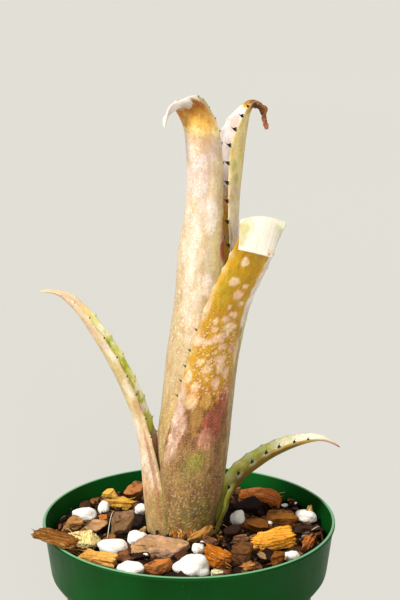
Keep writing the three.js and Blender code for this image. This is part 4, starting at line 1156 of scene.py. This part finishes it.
def husk_form(size, seed, outline=None, step=HUSK_STEP, fray=1.0, depth=1.0):
    """A block of husk with fibres along X and frayed ends."""
    shaped, _, faces = chip_base(size, seed, outline, step)
    shift = Vector((seed * 5.1, seed * 2.3, seed * 8.9))
    formed = []
    for p in shaped:
        here = p + shift
        strand = noise.noise(Vector((here.x * 0.1, here.y * 1.5, here.z * 1.5)))
        fine = noise.noise(Vector((here.x * 0.26, here.y * 3.2, here.z * 3.2)))
        bulge = noise.noise(here * 0.3)
        end = min(1, max(0, abs(2 * p.x / size[0]) - 0.6) / 0.4)
        radial = Vector((0, p.y, p.z)).normalized()
        push = radial * depth * (0.62 * strand + 0.3 * fine + 0.5 * bulge - 0.15)
        push.x = fray * math.copysign(end, p.x) * (1.7 * strand + 1.0 * fine - 0.5)
        formed.append(p + push)
    return formed, faces


def curled(points, start, radius):
    """points, with the part beyond start along X rolled down round a bend of a radius."""
    rolled = []
    for p in points:
        if p.x > start:
            angle = (p.x - start) / radius
            p = Vector((start + (radius + p.z) * math.sin(angle), p.y,
                        (radius + p.z) * math.cos(angle) - radius))
        rolled.append(p)
    return rolled


def random_way(draw, low, high):
    """A direction whose height is drawn from low to high before it is made one unit long."""
    return Vector((draw.uniform(-1, 1), draw.uniform(-1, 1), draw.uniform(low, high))).normalized()


def perlite_form(size, seed, lobes=11, subdivisions=4):
    """A puffed grain of perlite: broad lobes that meet in creases, with a few worn flats."""
    draw = random.Random(3000 + seed)
    balls = [(Vector((0, 0, 0)), PERLITE_CORE)]
    for _ in range(lobes):
        way = random_way(draw, -0.6, 0.6)
        balls.append((way * draw.uniform(0.44, 0.58), draw.uniform(0.32, 0.46)))
    flats = [(random_way(draw, -0.4, 1), draw.uniform(0.74, 0.86)) for _ in range(4)]
    ways, faces = ball(subdivisions, 1)
    shaped = []
    for way in ways:
        way.normalize()
        total = 0
        for centre, radius in balls:
            near = way.dot(centre)
            inside = near * near - centre.length_squared + radius * radius
            if inside > 0:
                total += math.exp(LOBE_CRISPNESS * (near + math.sqrt(inside)))
        reach = math.log(total) / LOBE_CRISPNESS
        for normal, offset in flats:
            if way.dot(normal) > 0.05:
                limit = offset / way.dot(normal)
                reach = (reach ** -FLAT_CRISPNESS + limit ** -FLAT_CRISPNESS) ** (-1 / FLAT_CRISPNESS)
        here = way * 1.6 + Vector((seed * 3.7, seed * 1.9, seed * 6.1))
        uneven = 0.06 * noise.noise(here) + 0.04 * noise.noise(here * 3) + 0.016 * noise.noise(here * 9)
        shaped.append(way * (reach + uneven))
    fit_box(shaped, size)
    return shaped, faces


# Loose pieces: node, size, colour, x, y, lift above the mix, turn, rise, bank
BARK = [
    ("husk_over_rim", (18.5, 7.4, 3.4), "84500e", -45.6, -24.6, 7.55, -24, -4, 4),
    ("bark_left_end", (8.4, 7, 5.2), "ae7c42", -42, 0.6, 1.8, 40, 8, 10),
    ("bark_tan_back_left", (7.4, 5.6, 4.4), "e4ac44", -30, 32, 1.8, -8, 6, 12),
    ("bark_fibrous_back_left", (11.4, 5.6, 4.4), "e4ac40", -25.1, 24.6, 1.7, 6, -2, 14),
    ("bark_pink_back_left", (10, 6, 5), "b07038", -20.6, 36.6, 2.2, 30, 14, 10),
    ("bark_upright_grey", (8.8, 3.8, 9.4), "866440", -23.5, -2, 3.2, 10, -2, -26),
    ("bark_flat_pink_left", (10.6, 8, 3), "ac8252", -34, 1, 1.1, -8, 4, 12),
    ("husk_cream_left", (13.2, 8, 5), "ffe89c", -37, -13.8, 2.1, -12, 2, 26),
    ("bark_tan_front_left", (15, 5.2, 3.6), "eaac50", -31, -30, 1.8, -22, -3, 14),
    ("bark_brown_front_left", (5.6, 5.2, 4.6), "8c552a", -21.8, -27.6, 1.5, 20, 4, 10),
    ("bark_flat_pink_front", (21, 10, 3.6), "ae865c", -9.9, -21.4, 2.2, -6, -2, 22),
    ("bark_orange_front", (10.6, 5.4, 4.2), "bc7434", -10.1, -38.2, 1.8, 10, 4, 12),
    ("bark_by_tube", (11.6, 5, 4.2), "ac7834", 4.2, -13.6, 3.4, 18, 16, 16),
    ("husk_orange_front", (10.4, 6.6, 7.4), "bc6a06", 9.8, -33.6, 3, -26, -16, 14),
    ("bark_dark_front", (8.2, 7.2, 5.6), "6a421c", 18, -26.4, 2.2, -24, 4, 12),
    ("husk_yellow_block", (15.6, 7, 7.4), "faa830", 29.2, -16.6, 3, 8, 5, 12),
    ("bark_brown_right_front", (5.8, 4.6, 4.6), "82490e", 30.2, -31.2, 1.8, 24, 10, 10),
    ("bark_brown_diagonal", (12.8, 5.4, 4), "6a3c08", 23.9, -0.8, 1.8, -28, -4, 16),
    ("bark_dark_by_tube", (7.6, 5, 4.2), "2a150a", 15.8, -8.4, 1.7, 26, 6, 12),
    ("bark_dark_back_right", (12.4, 7, 4.4), "1c0e07", 21.2, 20.6, 1.5, -6, 4, 12),
    ("bark_orange_back_right", (16, 6.6, 6), "c46a24", 27.4, 29, 2.4, -14, 6, 12),
    ("bark_brown_right", (12.6, 7, 5.2), "7e4c12", 33.6, 7.4, 2.1, -6, -3, 14),
    ("bark_thin_right", (9.8, 3.6, 3), "362010", 42, -3, 1.5, -12, -4, 10),
    ("husk_orange_right", (5.8, 4, 4.4), "b8641c", 41.8, -15.4, 1.9, 62, 14, 10),
    ("bark_back_middle", (14, 7, 4.6), "8c5528", 4.6, 31.6, 1.8, 34, 5, -10),
    ("bark_back_wall", (12, 6, 4), "a86624", -2, 42, 1.4, -6, 4, -8),
]
FIBROUS = ("husk_over_rim", "husk_cream_left", "husk_orange_front", "husk_yellow_block",
           "husk_orange_right", "bark_tan_front_left", "bark_fibrous_back_left", "bark_orange_back_right")
CROSS_GRAINED = ("husk_cream_left",)
UPRIGHT = ("bark_upright_grey",)
CURLED = ("bark_orange_back_right",)
CURL_START = 1.6
CURL_RADIUS = 2.9
CURL_LENGTH = 1.12
CURL_THINNESS = 0.72

# Outlines of the chips whose shape can be told in the photo, counterclockwise, from -1 to 1
OUTLINES = {
    "husk_over_rim": [(-1, -0.7), (-0.6, -1), (0.6, -0.9), (1, -0.5), (0.9, 0.4), (0.2, 0.8), (-0.6, 1),
                      (-1, 0.7)],
    "husk_cream_left": [(-1, 0.55), (-0.45, -0.5), (-0.1, -0.95), (0.7, -0.9), (0.95, -0.3), (0.7, 0.75),
                        (-0.1, 1)],
    "bark_tan_front_left": [(-1, -0.8), (1, -1), (0.95, 0.7), (-0.9, 1)],
    "bark_flat_pink_front": [(-1, -0.1), (-0.85, -0.9), (-0.3, -1), (0.5, -0.45), (1, 0.35), (0.95, 0.7),
                             (0.2, 1), (-0.6, 0.85)],
    "bark_upright_grey": [(-1, -1), (0.3, -0.85), (0.8, 0), (1, 1), (-0.4, 0.9), (-0.95, 0.65)],
    "bark_orange_front": [(-1, -0.23), (-0.17, -1), (0.72, 0.08), (1, 1), (0.03, 1)],
    "bark_by_tube": [(-1, -0.8), (0, -0.9), (0.94, 0.4), (0.82, 1), (-0.18, 0.6)],
    "husk_yellow_block": [(-1, -0.25), (-0.5, -0.95), (0.2, -0.95), (1, -0.7), (0.85, 1), (0.4, 1),
                          (-0.5, 0.7)],
    "bark_orange_back_right": [(-1, -0.9), (1, -1), (1, 0.9), (-0.9, 1)],
}

# Perlite grains: node, size, x, y, lift above the mix, turn
PERLITE = [
    ("perlite_left_back", (9.6, 6.8, 6), -38.4, 14.6, 1.8, -6),
    ("perlite_left_small", (4.2, 4.4, 5), -31.6, 19.2, 1.8, 0),
    ("perlite_behind_low_leaf", (4.6, 4.2, 4.4), -17.8, 17.6, 1.6, 0),
    ("perlite_front_left", (11, 6.4, 5.6), -26.2, -19.6, 2, -14),
    ("perlite_front_left_inner", (8.4, 6.2, 5.4), -17.6, -12.6, 2.2, 28),
    ("perlite_front_rim", (9.6, 6.2, 5.6), -19.1, -40, 1.8, -12),
    ("perlite_front_big", (12.6, 9, 9), 0.9, -38.4, 2.8, 0),
    ("perlite_front_small", (4.6, 4, 4.2), 3.4, -24.4, 2.2, 0),
    ("perlite_right_front", (5.2, 4.8, 4.4), 35.3, -28.6, 1.8, 0),
    ("perlite_right_tube", (5.4, 5, 6), 17.4, 4.6, 2.4, 0),
    ("perlite_right", (9.2, 5.6, 5), 42, 11.6, 1.8, -38),
    ("perlite_back", (8, 6.4, 5.6), 13.4, 39.6, 1.6, 30),
    ("perlite_back_left", (7, 6, 5), -9, 26.4, 1.6, 60),
]

# Extra small pieces that show in front: size, colour, x, y, lift, turn, rise, bank
SMALL_PIECES = [
    ((3.6, 2.8, 2), "cf7c3c", -30.8, 4.4, 3.2, 20, 10, 20),
    ((4.2, 2.6, 3.6), "c49a52", 44, 12.8, 3.4, 70, 40, 10),
    ((6.2, 3.4, 2.2), "b87a3c", 20.4, -36.2, 2.2, 8, 4, 20),
    ((7.6, 1.5, 1.3), "a08258", 25.1, -32.2, 4.4, -66, 4, 0),
    ((4.6, 2.6, 1.8), "5c3020", -43, -6.2, 2.6, 40, 10, 10),
    ((4.4, 2.2, 1.5), "c0965a", -16.3, -5.4, 2, 60, 16, 10),
    ((5.4, 3.4, 2.2), "e6e0b4", 9.9, -41, 1.6, -10, 4, 10),
    ((3.6, 1.3, 1.1), "7a4a24", -45.8, -3, 3, 80, 24, 0),
    ((5, 3, 2), "6a4430", -20.8, -30.7, 2, 24, 4, 10),
    ((6.4, 3.2, 2.2), "6c4428", 7.4, -16.2, 1.8, -28, 6, 14),
    ((6.2, 3, 2.2), "40261e", 41.8, -9, 2, 26, 6, 10),
    ((9, 4.4, 2.8), "5e3c26", 18.9, -15.3, 2.4, -20, 10, 20),
]

ROOTS = 90
FRONT_ROOTS = 66

# Loose fibres: three points of a bend, radius, colour
LOOSE_FIBRES = [
    ((-27.2, 9, 88.6), (-27.8, -1, 93), (-28.4, -13, 87.6), 0.14, "e2dcc6"),
    ((-44.6, -6, 87), (-43.8, -9, 91.2), (-40.6, -12, 89), 0.13, "c8a468"),
    ((-46.2, 3, 87.4), (-45.2, 0, 90.6), (-43.6, -3, 91.6), 0.11, "8c6a44"),
    ((46.4, -3, 87.4), (46, -7, 90), (43.2, -8.6, 88.6), 0.14, "d6cfb6"),
]

# Crumb and small chip tones run to near black: partly the bark's own dark browns, partly painted shade in
# the gaps between chips.
CRUMB_AND_SHADE_TONES = ["1e0f07", "321c0c", "4a2c12", "5e3a1a", "8a5826", "180c06", "ae7a34", "684420"]
SMALL_CHIP_AND_SHADE_TONES = ["1a0d07", "2a170c", "3e240f", "543418", "6e4420", "8c5c28", "4a2a14", "301a0e"]
ROOT_TONES = ["c87c28", "b46428", "d89a48", "8c4e1c", "e0b878"]


def chip_form(node, size, seed):
    """The form of a named chip in its own axes, its faces, and the places its grain is laid out on."""
    length, width, height = size
    outline = OUTLINES.get(node)
    form = husk_form if node in FIBROUS else bark_form
    if node in UPRIGHT:
        grain, faces = form((length, height, width), seed, outline)
        return [Vector((p.x, -p.z, p.y)) for p in grain], faces, grain
    if node in CROSS_GRAINED:
        swapped = [(y, x) for x, y in reversed(outline)]
        grain, faces = form((width, length, height), seed, swapped, fray=0.3, depth=0.45)
        return [Vector((p.y, p.x, p.z)) for p in grain], faces, grain
    if node in CURLED:
        grain, faces = form((length * CURL_LENGTH, width, height * CURL_THINNESS), seed, outline)
        return curled(grain, CURL_START, CURL_RADIUS), faces, grain
    grain, faces = form(size, seed, outline)
    return grain, faces, grain


def add_fray(shape, size, place, seed, code, count, keep):
    """Loose fibres at the ends and on the faces of a husk."""
    draw = random.Random(900 + seed)
    length, width, height = size
    for _ in range(count):
        end = draw.choice((-1, 1))
        y = width * draw.uniform(-0.42, 0.42)
        z = height * draw.uniform(-0.3, 0.46)
        start = Vector((end * length * draw.uniform(0.05, 0.42), y, z))
        reach = draw.uniform(1.0, 3.4)
        drift = Vector((end * reach, draw.uniform(-0.8, 0.8), draw.uniform(-0.2, 0.6)))
        path = [start + drift * k / 4 + Vector((0, 0, 0.14 * k * (k - 3) / 4)) for k in range(5)]
        tint = colour(code).lerp(colour("f0d8a4"), draw.uniform(0, 0.28))
        lay(shape, *tube(path, [0.16, 0.15, 0.13, 0.1, 0.05]), place, tint, keep=keep)


def make_named_pieces(bark, husk, pitted, perlite):
    """A fine piece for every chip, husk and grain that is a node of the frame."""
    for seed, (node, size, code, *place) in enumerate(BARK):
        over_rim = node == "husk_over_rim"
        keep = inside_box if over_rim else kept_inside
        shape = Shape()
        points, faces, grain = chip_form(node, size, seed + 1)
        lay(shape, points, faces, place, colour(code), grain, keep=keep)
        skin = husk if node in FIBROUS else bark
        if node in CROSS_GRAINED:
            skin = pitted
        elif node in FIBROUS:
            add_fray(shape, size, place, seed, code, 34 if over_rim else 22, keep)
        shape.piece(f"{node}_fine", SLOT_OF[node], skin, node)
    for seed, (node, size, *place) in enumerate(PERLITE):
        shape = Shape()
        lay(shape, *perlite_form(size, seed + 1), place)
        shape.piece(f"{node}_fine", SLOT_OF[node], perlite, node)


def clear_of_plant(x, y, margin):
    """True where a loose crumb lies outside the tube and the two low leaves' sheaths."""
    return all(math.hypot(x - a, y - b) > radius + margin for a, b, radius in SHEATHS)


def spiral_spots(draw, count):
    """Spots that cover the bed evenly, each moved a little."""
    for i in range(count):
        radius = 13 + 34 * math.sqrt((i + 0.5) / count)
        angle = GOLDEN_ANGLE * i
        x = radius * math.cos(angle) + draw.uniform(-1, 1)
        yield x, radius * math.sin(angle) + draw.uniform(-1, 1)


def random_spots(draw, count, nearest, band):
    """Spots at random in a band round the axis."""
    for _ in range(count):
        radius = nearest + band * math.sqrt(draw.random())
        angle = draw.uniform(0, 2 * math.pi)
        yield radius * math.cos(angle), radius * math.sin(angle)


def scatter(name, bark, draw, spots, *, length, width, height, tilt, lift, tones, room, seed, step,
            shift):
    """A piece of loose chips at spots, of random size, lie and tone, where they are clear of the plant."""
    shape = Shape()
    for i, (x, y) in enumerate(spots):
        long = draw.uniform(*length)
        size = (long, long * draw.uniform(*width), height(long))
        lie = [draw.uniform(0, 360), *[draw.uniform(-most, most) for most in tilt]]
        place = (x, y, draw.uniform(*lift), *lie)
        tint = colour(draw.choice(tones))
        if clear_of_plant(x, y, room * long):
            lay(shape, *bark_form(size, seed + i, None, step), place, tint, shift=i * shift)
    shape.piece(name, "bark_brown", bark)


def make_small_chips(bark):
    """Small chips and crumbs that cover the whole bed, at the back as well."""
    draw = random.Random(2024)
    scatter("small_chips", bark, draw, spiral_spots(draw, 150), length=(4.5, 10.5), width=(0.4, 0.7),
            height=lambda long: draw.uniform(1.6, 3.2), tilt=(26, 30), lift=(-1.2, 0.3),
            tones=SMALL_CHIP_AND_SHADE_TONES, room=0.36, seed=40, step=0.75, shift=11)
    scatter("crumbs", bark, draw, random_spots(draw, 620, 0, 49), length=(1.0, 3.8), width=(0.3, 0.7),
            height=lambda long: long * draw.uniform(0.2, 0.5), tilt=(40, 40), lift=(-0.4, 0.7),
            tones=CRUMB_AND_SHADE_TONES, room=0.4, seed=300, step=0.8, shift=5)


def make_small_perlite(material):
    """Small broken grains of perlite among the chips."""
    draw = random.Random(78)
    shape = Shape()
    for i, (x, y) in enumerate(random_spots(draw, 22, 14, 32)):
        length = draw.uniform(0.9, 2.8)
        size = (length, length * draw.uniform(0.5, 0.8), length * draw.uniform(0.45, 0.75))
        if clear_of_plant(x, y, length):
            place = (x, y, draw.uniform(0.6, 1.8), draw.uniform(0, 360))
            lay(shape, *perlite_form(size, 60 + i, 4, 3), place, shift=i * 9)
    shape.piece("small_perlite", "perlite", material)


def make_small_husks(husk):
    """Small shreds of husk, joined in one piece."""
    shape = Shape()
    for i, (size, code, *place) in enumerate(SMALL_PIECES):
        lay(shape, *husk_form(size, 500 + i, None, 0.4), place, colour(code), shift=i * 30)
    shape.piece("small_husks", "husk", husk)


def make_fibres(material):
    """Dry roots at the foot of the tube, and a few loose fibres on the mix."""
    draw = random.Random(5)
    shape = Shape()

    def add(path, radii, code):
        points, faces = tube(path, radii)
        shape.add(points, faces, local=points, paint=[colour(code)] * len(points))

    for i in range(ROOTS):
        angle = math.radians(draw.uniform(-118, -72) if i < FRONT_ROOTS else draw.uniform(0, 360))
        outward = Vector((math.cos(angle), math.sin(angle), 0))
        start = outward * (ROOT_RING + draw.uniform(0, 0.8)) + UP * (ROOT_Z + draw.uniform(0, 1.8))
        sideways = Vector((-outward.y, outward.x, 0)) * draw.uniform(-2.2, 2.2)
        length = draw.uniform(1.2, 4.2)
        path = [start + (outward * length + sideways) * s + UP * (1.6 * s - 2.6 * s * s)
                for s in (k / 6 for k in range(7))]
        radius = draw.uniform(0.09, 0.18)
        add(path, [radius * (1 - 0.5 * k / 6) for k in range(7)], draw.choice(ROOT_TONES))
    for *stops, radius, code in LOOSE_FIBRES:
        a, b, c = [Vector(stop) for stop in stops]
        path = [a.lerp(b, s / 8).lerp(b.lerp(c, s / 8), s / 8) for s in range(9)]
        add(path, [radius] * 8 + [radius * 0.4], code)
    shape.piece("fibres", "husk", material)


def make_bed(material):
    """The bed of fine mix: a crumbly top on a body that fills the pot."""
    profile = [
        (0, FLOOR + 0.35),
        (BASE_RADIUS - WALL - 0.65, FLOOR + 0.35),
        (BODY_TOP_RADIUS - WALL - 0.35, BODY_TOP_Z + 0.6),
        (COLLAR_FOOT_RADIUS - WALL - 1.55, COLLAR_FOOT_Z - 1),
        (COLLAR_FOOT_RADIUS - WALL - 0.35, INNER_FOOT_Z),
        (COLLAR_FOOT_RADIUS - WALL + 0.6, MIX_LEVEL),
        *[(BED_RADIUS * (1 - k / BED_RINGS), MIX_LEVEL) for k in range(BED_RINGS)],
        (0, MIX_LEVEL),
    ]
    points, faces = lathe(profile, BED_SEGMENTS)
    for point in points:
        if abs(point.z - MIX_LEVEL) < 0.01:
            here = Vector((point.x, point.y, 0))
            rough = 1.3 * noise.noise(here * 0.3) + 0.7 * noise.noise(here * 0.9)
            point.z = mix_level(point.x, point.y) - 0.5 + rough
        elif point.z > FLOOR + 1:
            push = 1 + 0.006 * noise.noise(point * 0.6)
            point.x *= push
            point.y *= push
    shape = Shape()
    shape.add(points, faces, local=points)
    shape.piece("mix_bed", "mix_fines", material, "potting_mix")


# Pot

def cutter_mesh():
    """The side slots and floor holes as solids to cut."""
    bm = bmesh.new()

    def place(verts, share, first_angle, move, size):
        turn = Matrix.Rotation(math.radians(first_angle) + 2 * math.pi * share, 4, "Z")
        scale = Matrix.Diagonal((*[MM * s for s in size], 1))
        move = Matrix.Translation([MM * m for m in move])
        bmesh.ops.transform(bm, matrix=turn @ move @ scale, verts=verts)

    for i in range(SIDE_SLOTS):
        box = bmesh.ops.create_cube(bm, size=1)["verts"]
        place(box, i / SIDE_SLOTS, FIRST_SLOT_ANGLE,
              (0, WALL - BODY_TOP_RADIUS, SLOT_TOP_Z - SLOT_LENGTH / 2),
              (SLOT_WIDTH, CUTTER_DEPTH, SLOT_LENGTH))
    for i in range(FLOOR_HOLES):
        rod = bmesh.ops.create_cone(bm, cap_ends=True, segments=40, radius1=1, radius2=1, depth=1)["verts"]
        place(rod, i / FLOOR_HOLES, 0, (FLOOR_HOLE_RING, 0, 0),
              (FLOOR_HOLE_RADIUS, FLOOR_HOLE_RADIUS, CUTTER_DEPTH))
    mesh = bpy.data.meshes.new("cutters")
    bm.to_mesh(mesh)
    bm.free()
    return mesh


def arc(centre, radius, start, end, steps):
    """Points of a rounded corner in the (radius, z) plane."""
    angles = [math.radians(start + (end - start) * k / steps) for k in range(steps + 1)]
    return [(centre[0] + radius * math.cos(a), centre[1] + radius * math.sin(a)) for a in angles]


def make_nub(material):
    """The small moulding mark on the front of the collar."""
    centre = Vector((NUB_X, 0.75 - RIM_RADIUS, NUB_Z))
    points, faces = ball(3, NUB_RADIUS)
    points = [centre + Vector((p.x, 0.6 * p.y, p.z)) for p in points]
    shape = Shape()
    shape.add(points, faces, local=points)
    shape.piece("pot_nub", "pot_plastic", material)


def make_pot(material):
    """The pot: a turned shell with its slots and holes cut out, and the nub."""
    outside = [
        (0, 0),
        (BASE_RADIUS - 1.2, 0),
        *arc((BASE_RADIUS - 1.2, 1.2), 1.2, -70, -10, 3),
        (BASE_RADIUS + 0.3, 3),
        (BODY_TOP_RADIUS - 0.1, BODY_TOP_Z - 1),
        (BODY_TOP_RADIUS, BODY_TOP_Z),
        (BODY_TOP_RADIUS + 0.7, BODY_TOP_Z + 0.25),
        (BODY_TOP_RADIUS + 1.8, BODY_TOP_Z + 0.4),
        (BODY_TOP_RADIUS + 2.9, BODY_TOP_Z + 1),
        (COLLAR_FOOT_RADIUS - 0.9, COLLAR_FOOT_Z - 2),
        (COLLAR_FOOT_RADIUS - 0.3, COLLAR_FOOT_Z - 1.1),
        (COLLAR_FOOT_RADIUS, COLLAR_FOOT_Z),
        (COLLAR_FOOT_RADIUS + 0.15, COLLAR_FOOT_Z + 1),
        (RIM_RADIUS - 0.6, POT_HEIGHT - 2),
        (RIM_RADIUS - 0.3, POT_HEIGHT - 1.65),
        *arc((RIM_RADIUS - 0.45, POT_HEIGHT - 1), 0.45, -30, 40, 3),
        *arc((RIM_RADIUS - LIP_RADIUS, POT_HEIGHT - LIP_RADIUS), LIP_RADIUS, 20, 90, 4),
        (RIM_RADIUS - 0.85, POT_HEIGHT),
    ]
    inside = [
        (RIM_RADIUS - 1.0, POT_HEIGHT - 0.1),
        (RIM_RADIUS - 1.12, POT_HEIGHT - 0.4),
        (RIM_RADIUS - 1.3, POT_HEIGHT - 2.4),
        (RIM_RADIUS - WALL - 0.25, POT_HEIGHT - 4),
        (COLLAR_FOOT_RADIUS - WALL, INNER_FOOT_Z),
        (COLLAR_FOOT_RADIUS - WALL - 1.2, COLLAR_FOOT_Z - 1),
        (BODY_TOP_RADIUS - WALL, BODY_TOP_Z + 0.6),
        (BASE_RADIUS - WALL - 0.3, FLOOR),
        (0, FLOOR),
    ]
    shape = Shape()
    shape.add(*lathe([*outside, *inside], POT_SEGMENTS))
    pot = shape.piece("pot_shell", "pot_plastic", material, "pot")
    make_nub(material)
    cutter = linked("cutter", cutter_mesh())
    cut = pot.modifiers.new("cut", "BOOLEAN")
    cut.operation = "DIFFERENCE"
    cut.solver = "EXACT"
    cut.object = cutter
    bpy.context.view_layer.update()
    mesh = bpy.data.meshes.new_from_object(pot.evaluated_get(bpy.context.evaluated_depsgraph_get()))
    pot.modifiers.clear()
    pot.data = mesh
    bpy.data.objects.remove(cutter)
    for polygon in mesh.polygons:
        polygon.use_smooth = True
    mesh.set_sharp_from_angle(angle=math.radians(34))
    store(mesh, "local", [v.co / MM for v in mesh.vertices])


# Scene

def make_floor():
    """A pale floor at the foot of the pot."""
    g = Graph("floor_pale")
    tone = g.noise(g.node("ShaderNodeTexCoord").outputs["Object"], 0.8, 2, 0.5)
    g.set(Base_Color=g.mix(tone, colour("bcbdb9"), colour("c2c2bf")), Roughness=0.9)
    mesh = bpy.data.meshes.new("floor")
    corners = [(x * FLOOR_REACH, y * FLOOR_REACH, 0) for x, y in ((-1, -1), (1, -1), (1, 1), (-1, 1))]
    mesh.from_pydata(corners, [], [(0, 1, 2, 3)])
    mesh.materials.append(g.material)
    linked("floor", mesh)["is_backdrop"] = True


def make_lights():
    """An even pale surround, and four suns that shine at the origin from their places."""
    world = bpy.data.worlds.new("studio")
    world.use_nodes = True
    background = world.node_tree.nodes["Background"]
    background.inputs["Color"].default_value = (1.0, 0.99, 0.96, 1)
    background.inputs["Strength"].default_value = 0.32
    bpy.context.scene.world = world
    for name, place, strength, spread, tint in (
            ("key", (-0.8, -0.7, 1.4), 3.5, 12, (1.0, 0.96, 0.89)),
            ("side", (-1.0, -0.4, 0.5), 0.75, 24, (1.0, 0.97, 0.91)),
            ("fill", (0.08, -1.0, 0.32), 0.95, 24, (1.0, 0.98, 0.94)),
            ("rim", (0.9, 0.8, 0.8), 0.35, 24, (1.0, 0.98, 0.94))):
        light = bpy.data.lights.new(name, "SUN")
        light.color = tint
        light.energy = strength
        light.angle = math.radians(spread)
        holder = linked(name, light)
        holder.location = place
        holder.rotation_euler = (-Vector(place)).to_track_quat("-Z", "Y").to_euler()


def make_camera():
    """The camera that was fitted to the lip of the pot in the photo."""
    camera = linked("camera", bpy.data.cameras.new("camera"))
    camera.location = (0.003931, -0.554852, 0.317165)
    camera.rotation_euler = (math.radians(75.159), 0, 0)
    camera.data.lens = 100
    camera.data.sensor_width = 36
    camera.data.clip_end = 50
    bpy.context.scene.camera = camera
    bpy.context.scene.view_settings.view_transform = "Standard"


make_floor()
make_lights()
make_camera()
skins = {
    "pale": leaf_material("skin_pale", colour("d6ae5c"), (WHITE_PINK, PINK_CREAM), (0.8, 0.46),
                          0, colour("e0bc70"), 0.3, 0.35),
    "silver": leaf_material("skin_silver", colour("c4a888"), (WHITE_PINK, CREAM), (0.8, 0.4),
                            0, colour("d8b48a"), 0.3, 0.5),
    "olive": leaf_material("skin_olive", colour("b58428"), (PEACH, PEACH_PINK), (0.42, 0.72),
                           -32, colour("b8702a"), 0.42, 0.8),
    "low": leaf_material("skin_low", colour("c4a86c"), (GREEN_CREAM, SCURF), (0.8, 0.4),
                         0, colour("c8b48a"), 0.2, 0.6),
}
for leaf in LEAVES:
    make_blade(leaf, skins[leaf["skin"]])
bark = bark_material()
husk = husk_material("husk_fibre", 0.06)
perlite = perlite_material()
make_named_pieces(bark, husk, husk_material("husk_pitted", 0.14), perlite)
make_small_chips(bark)
make_small_perlite(perlite)
make_small_husks(husk)
make_fibres(fibre_material())
make_bed(fines_and_shade_material())
make_pot(pot_material())
frame["nodes"]["stem_base"].data.materials.clear()
frame["nodes"]["stem_base"].data.materials.append(stem_material())

boxes = {"cad": CAD_BOX, "visual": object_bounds()}
{name: [list(corner) for corner in box] for name, box in boxes.items()}
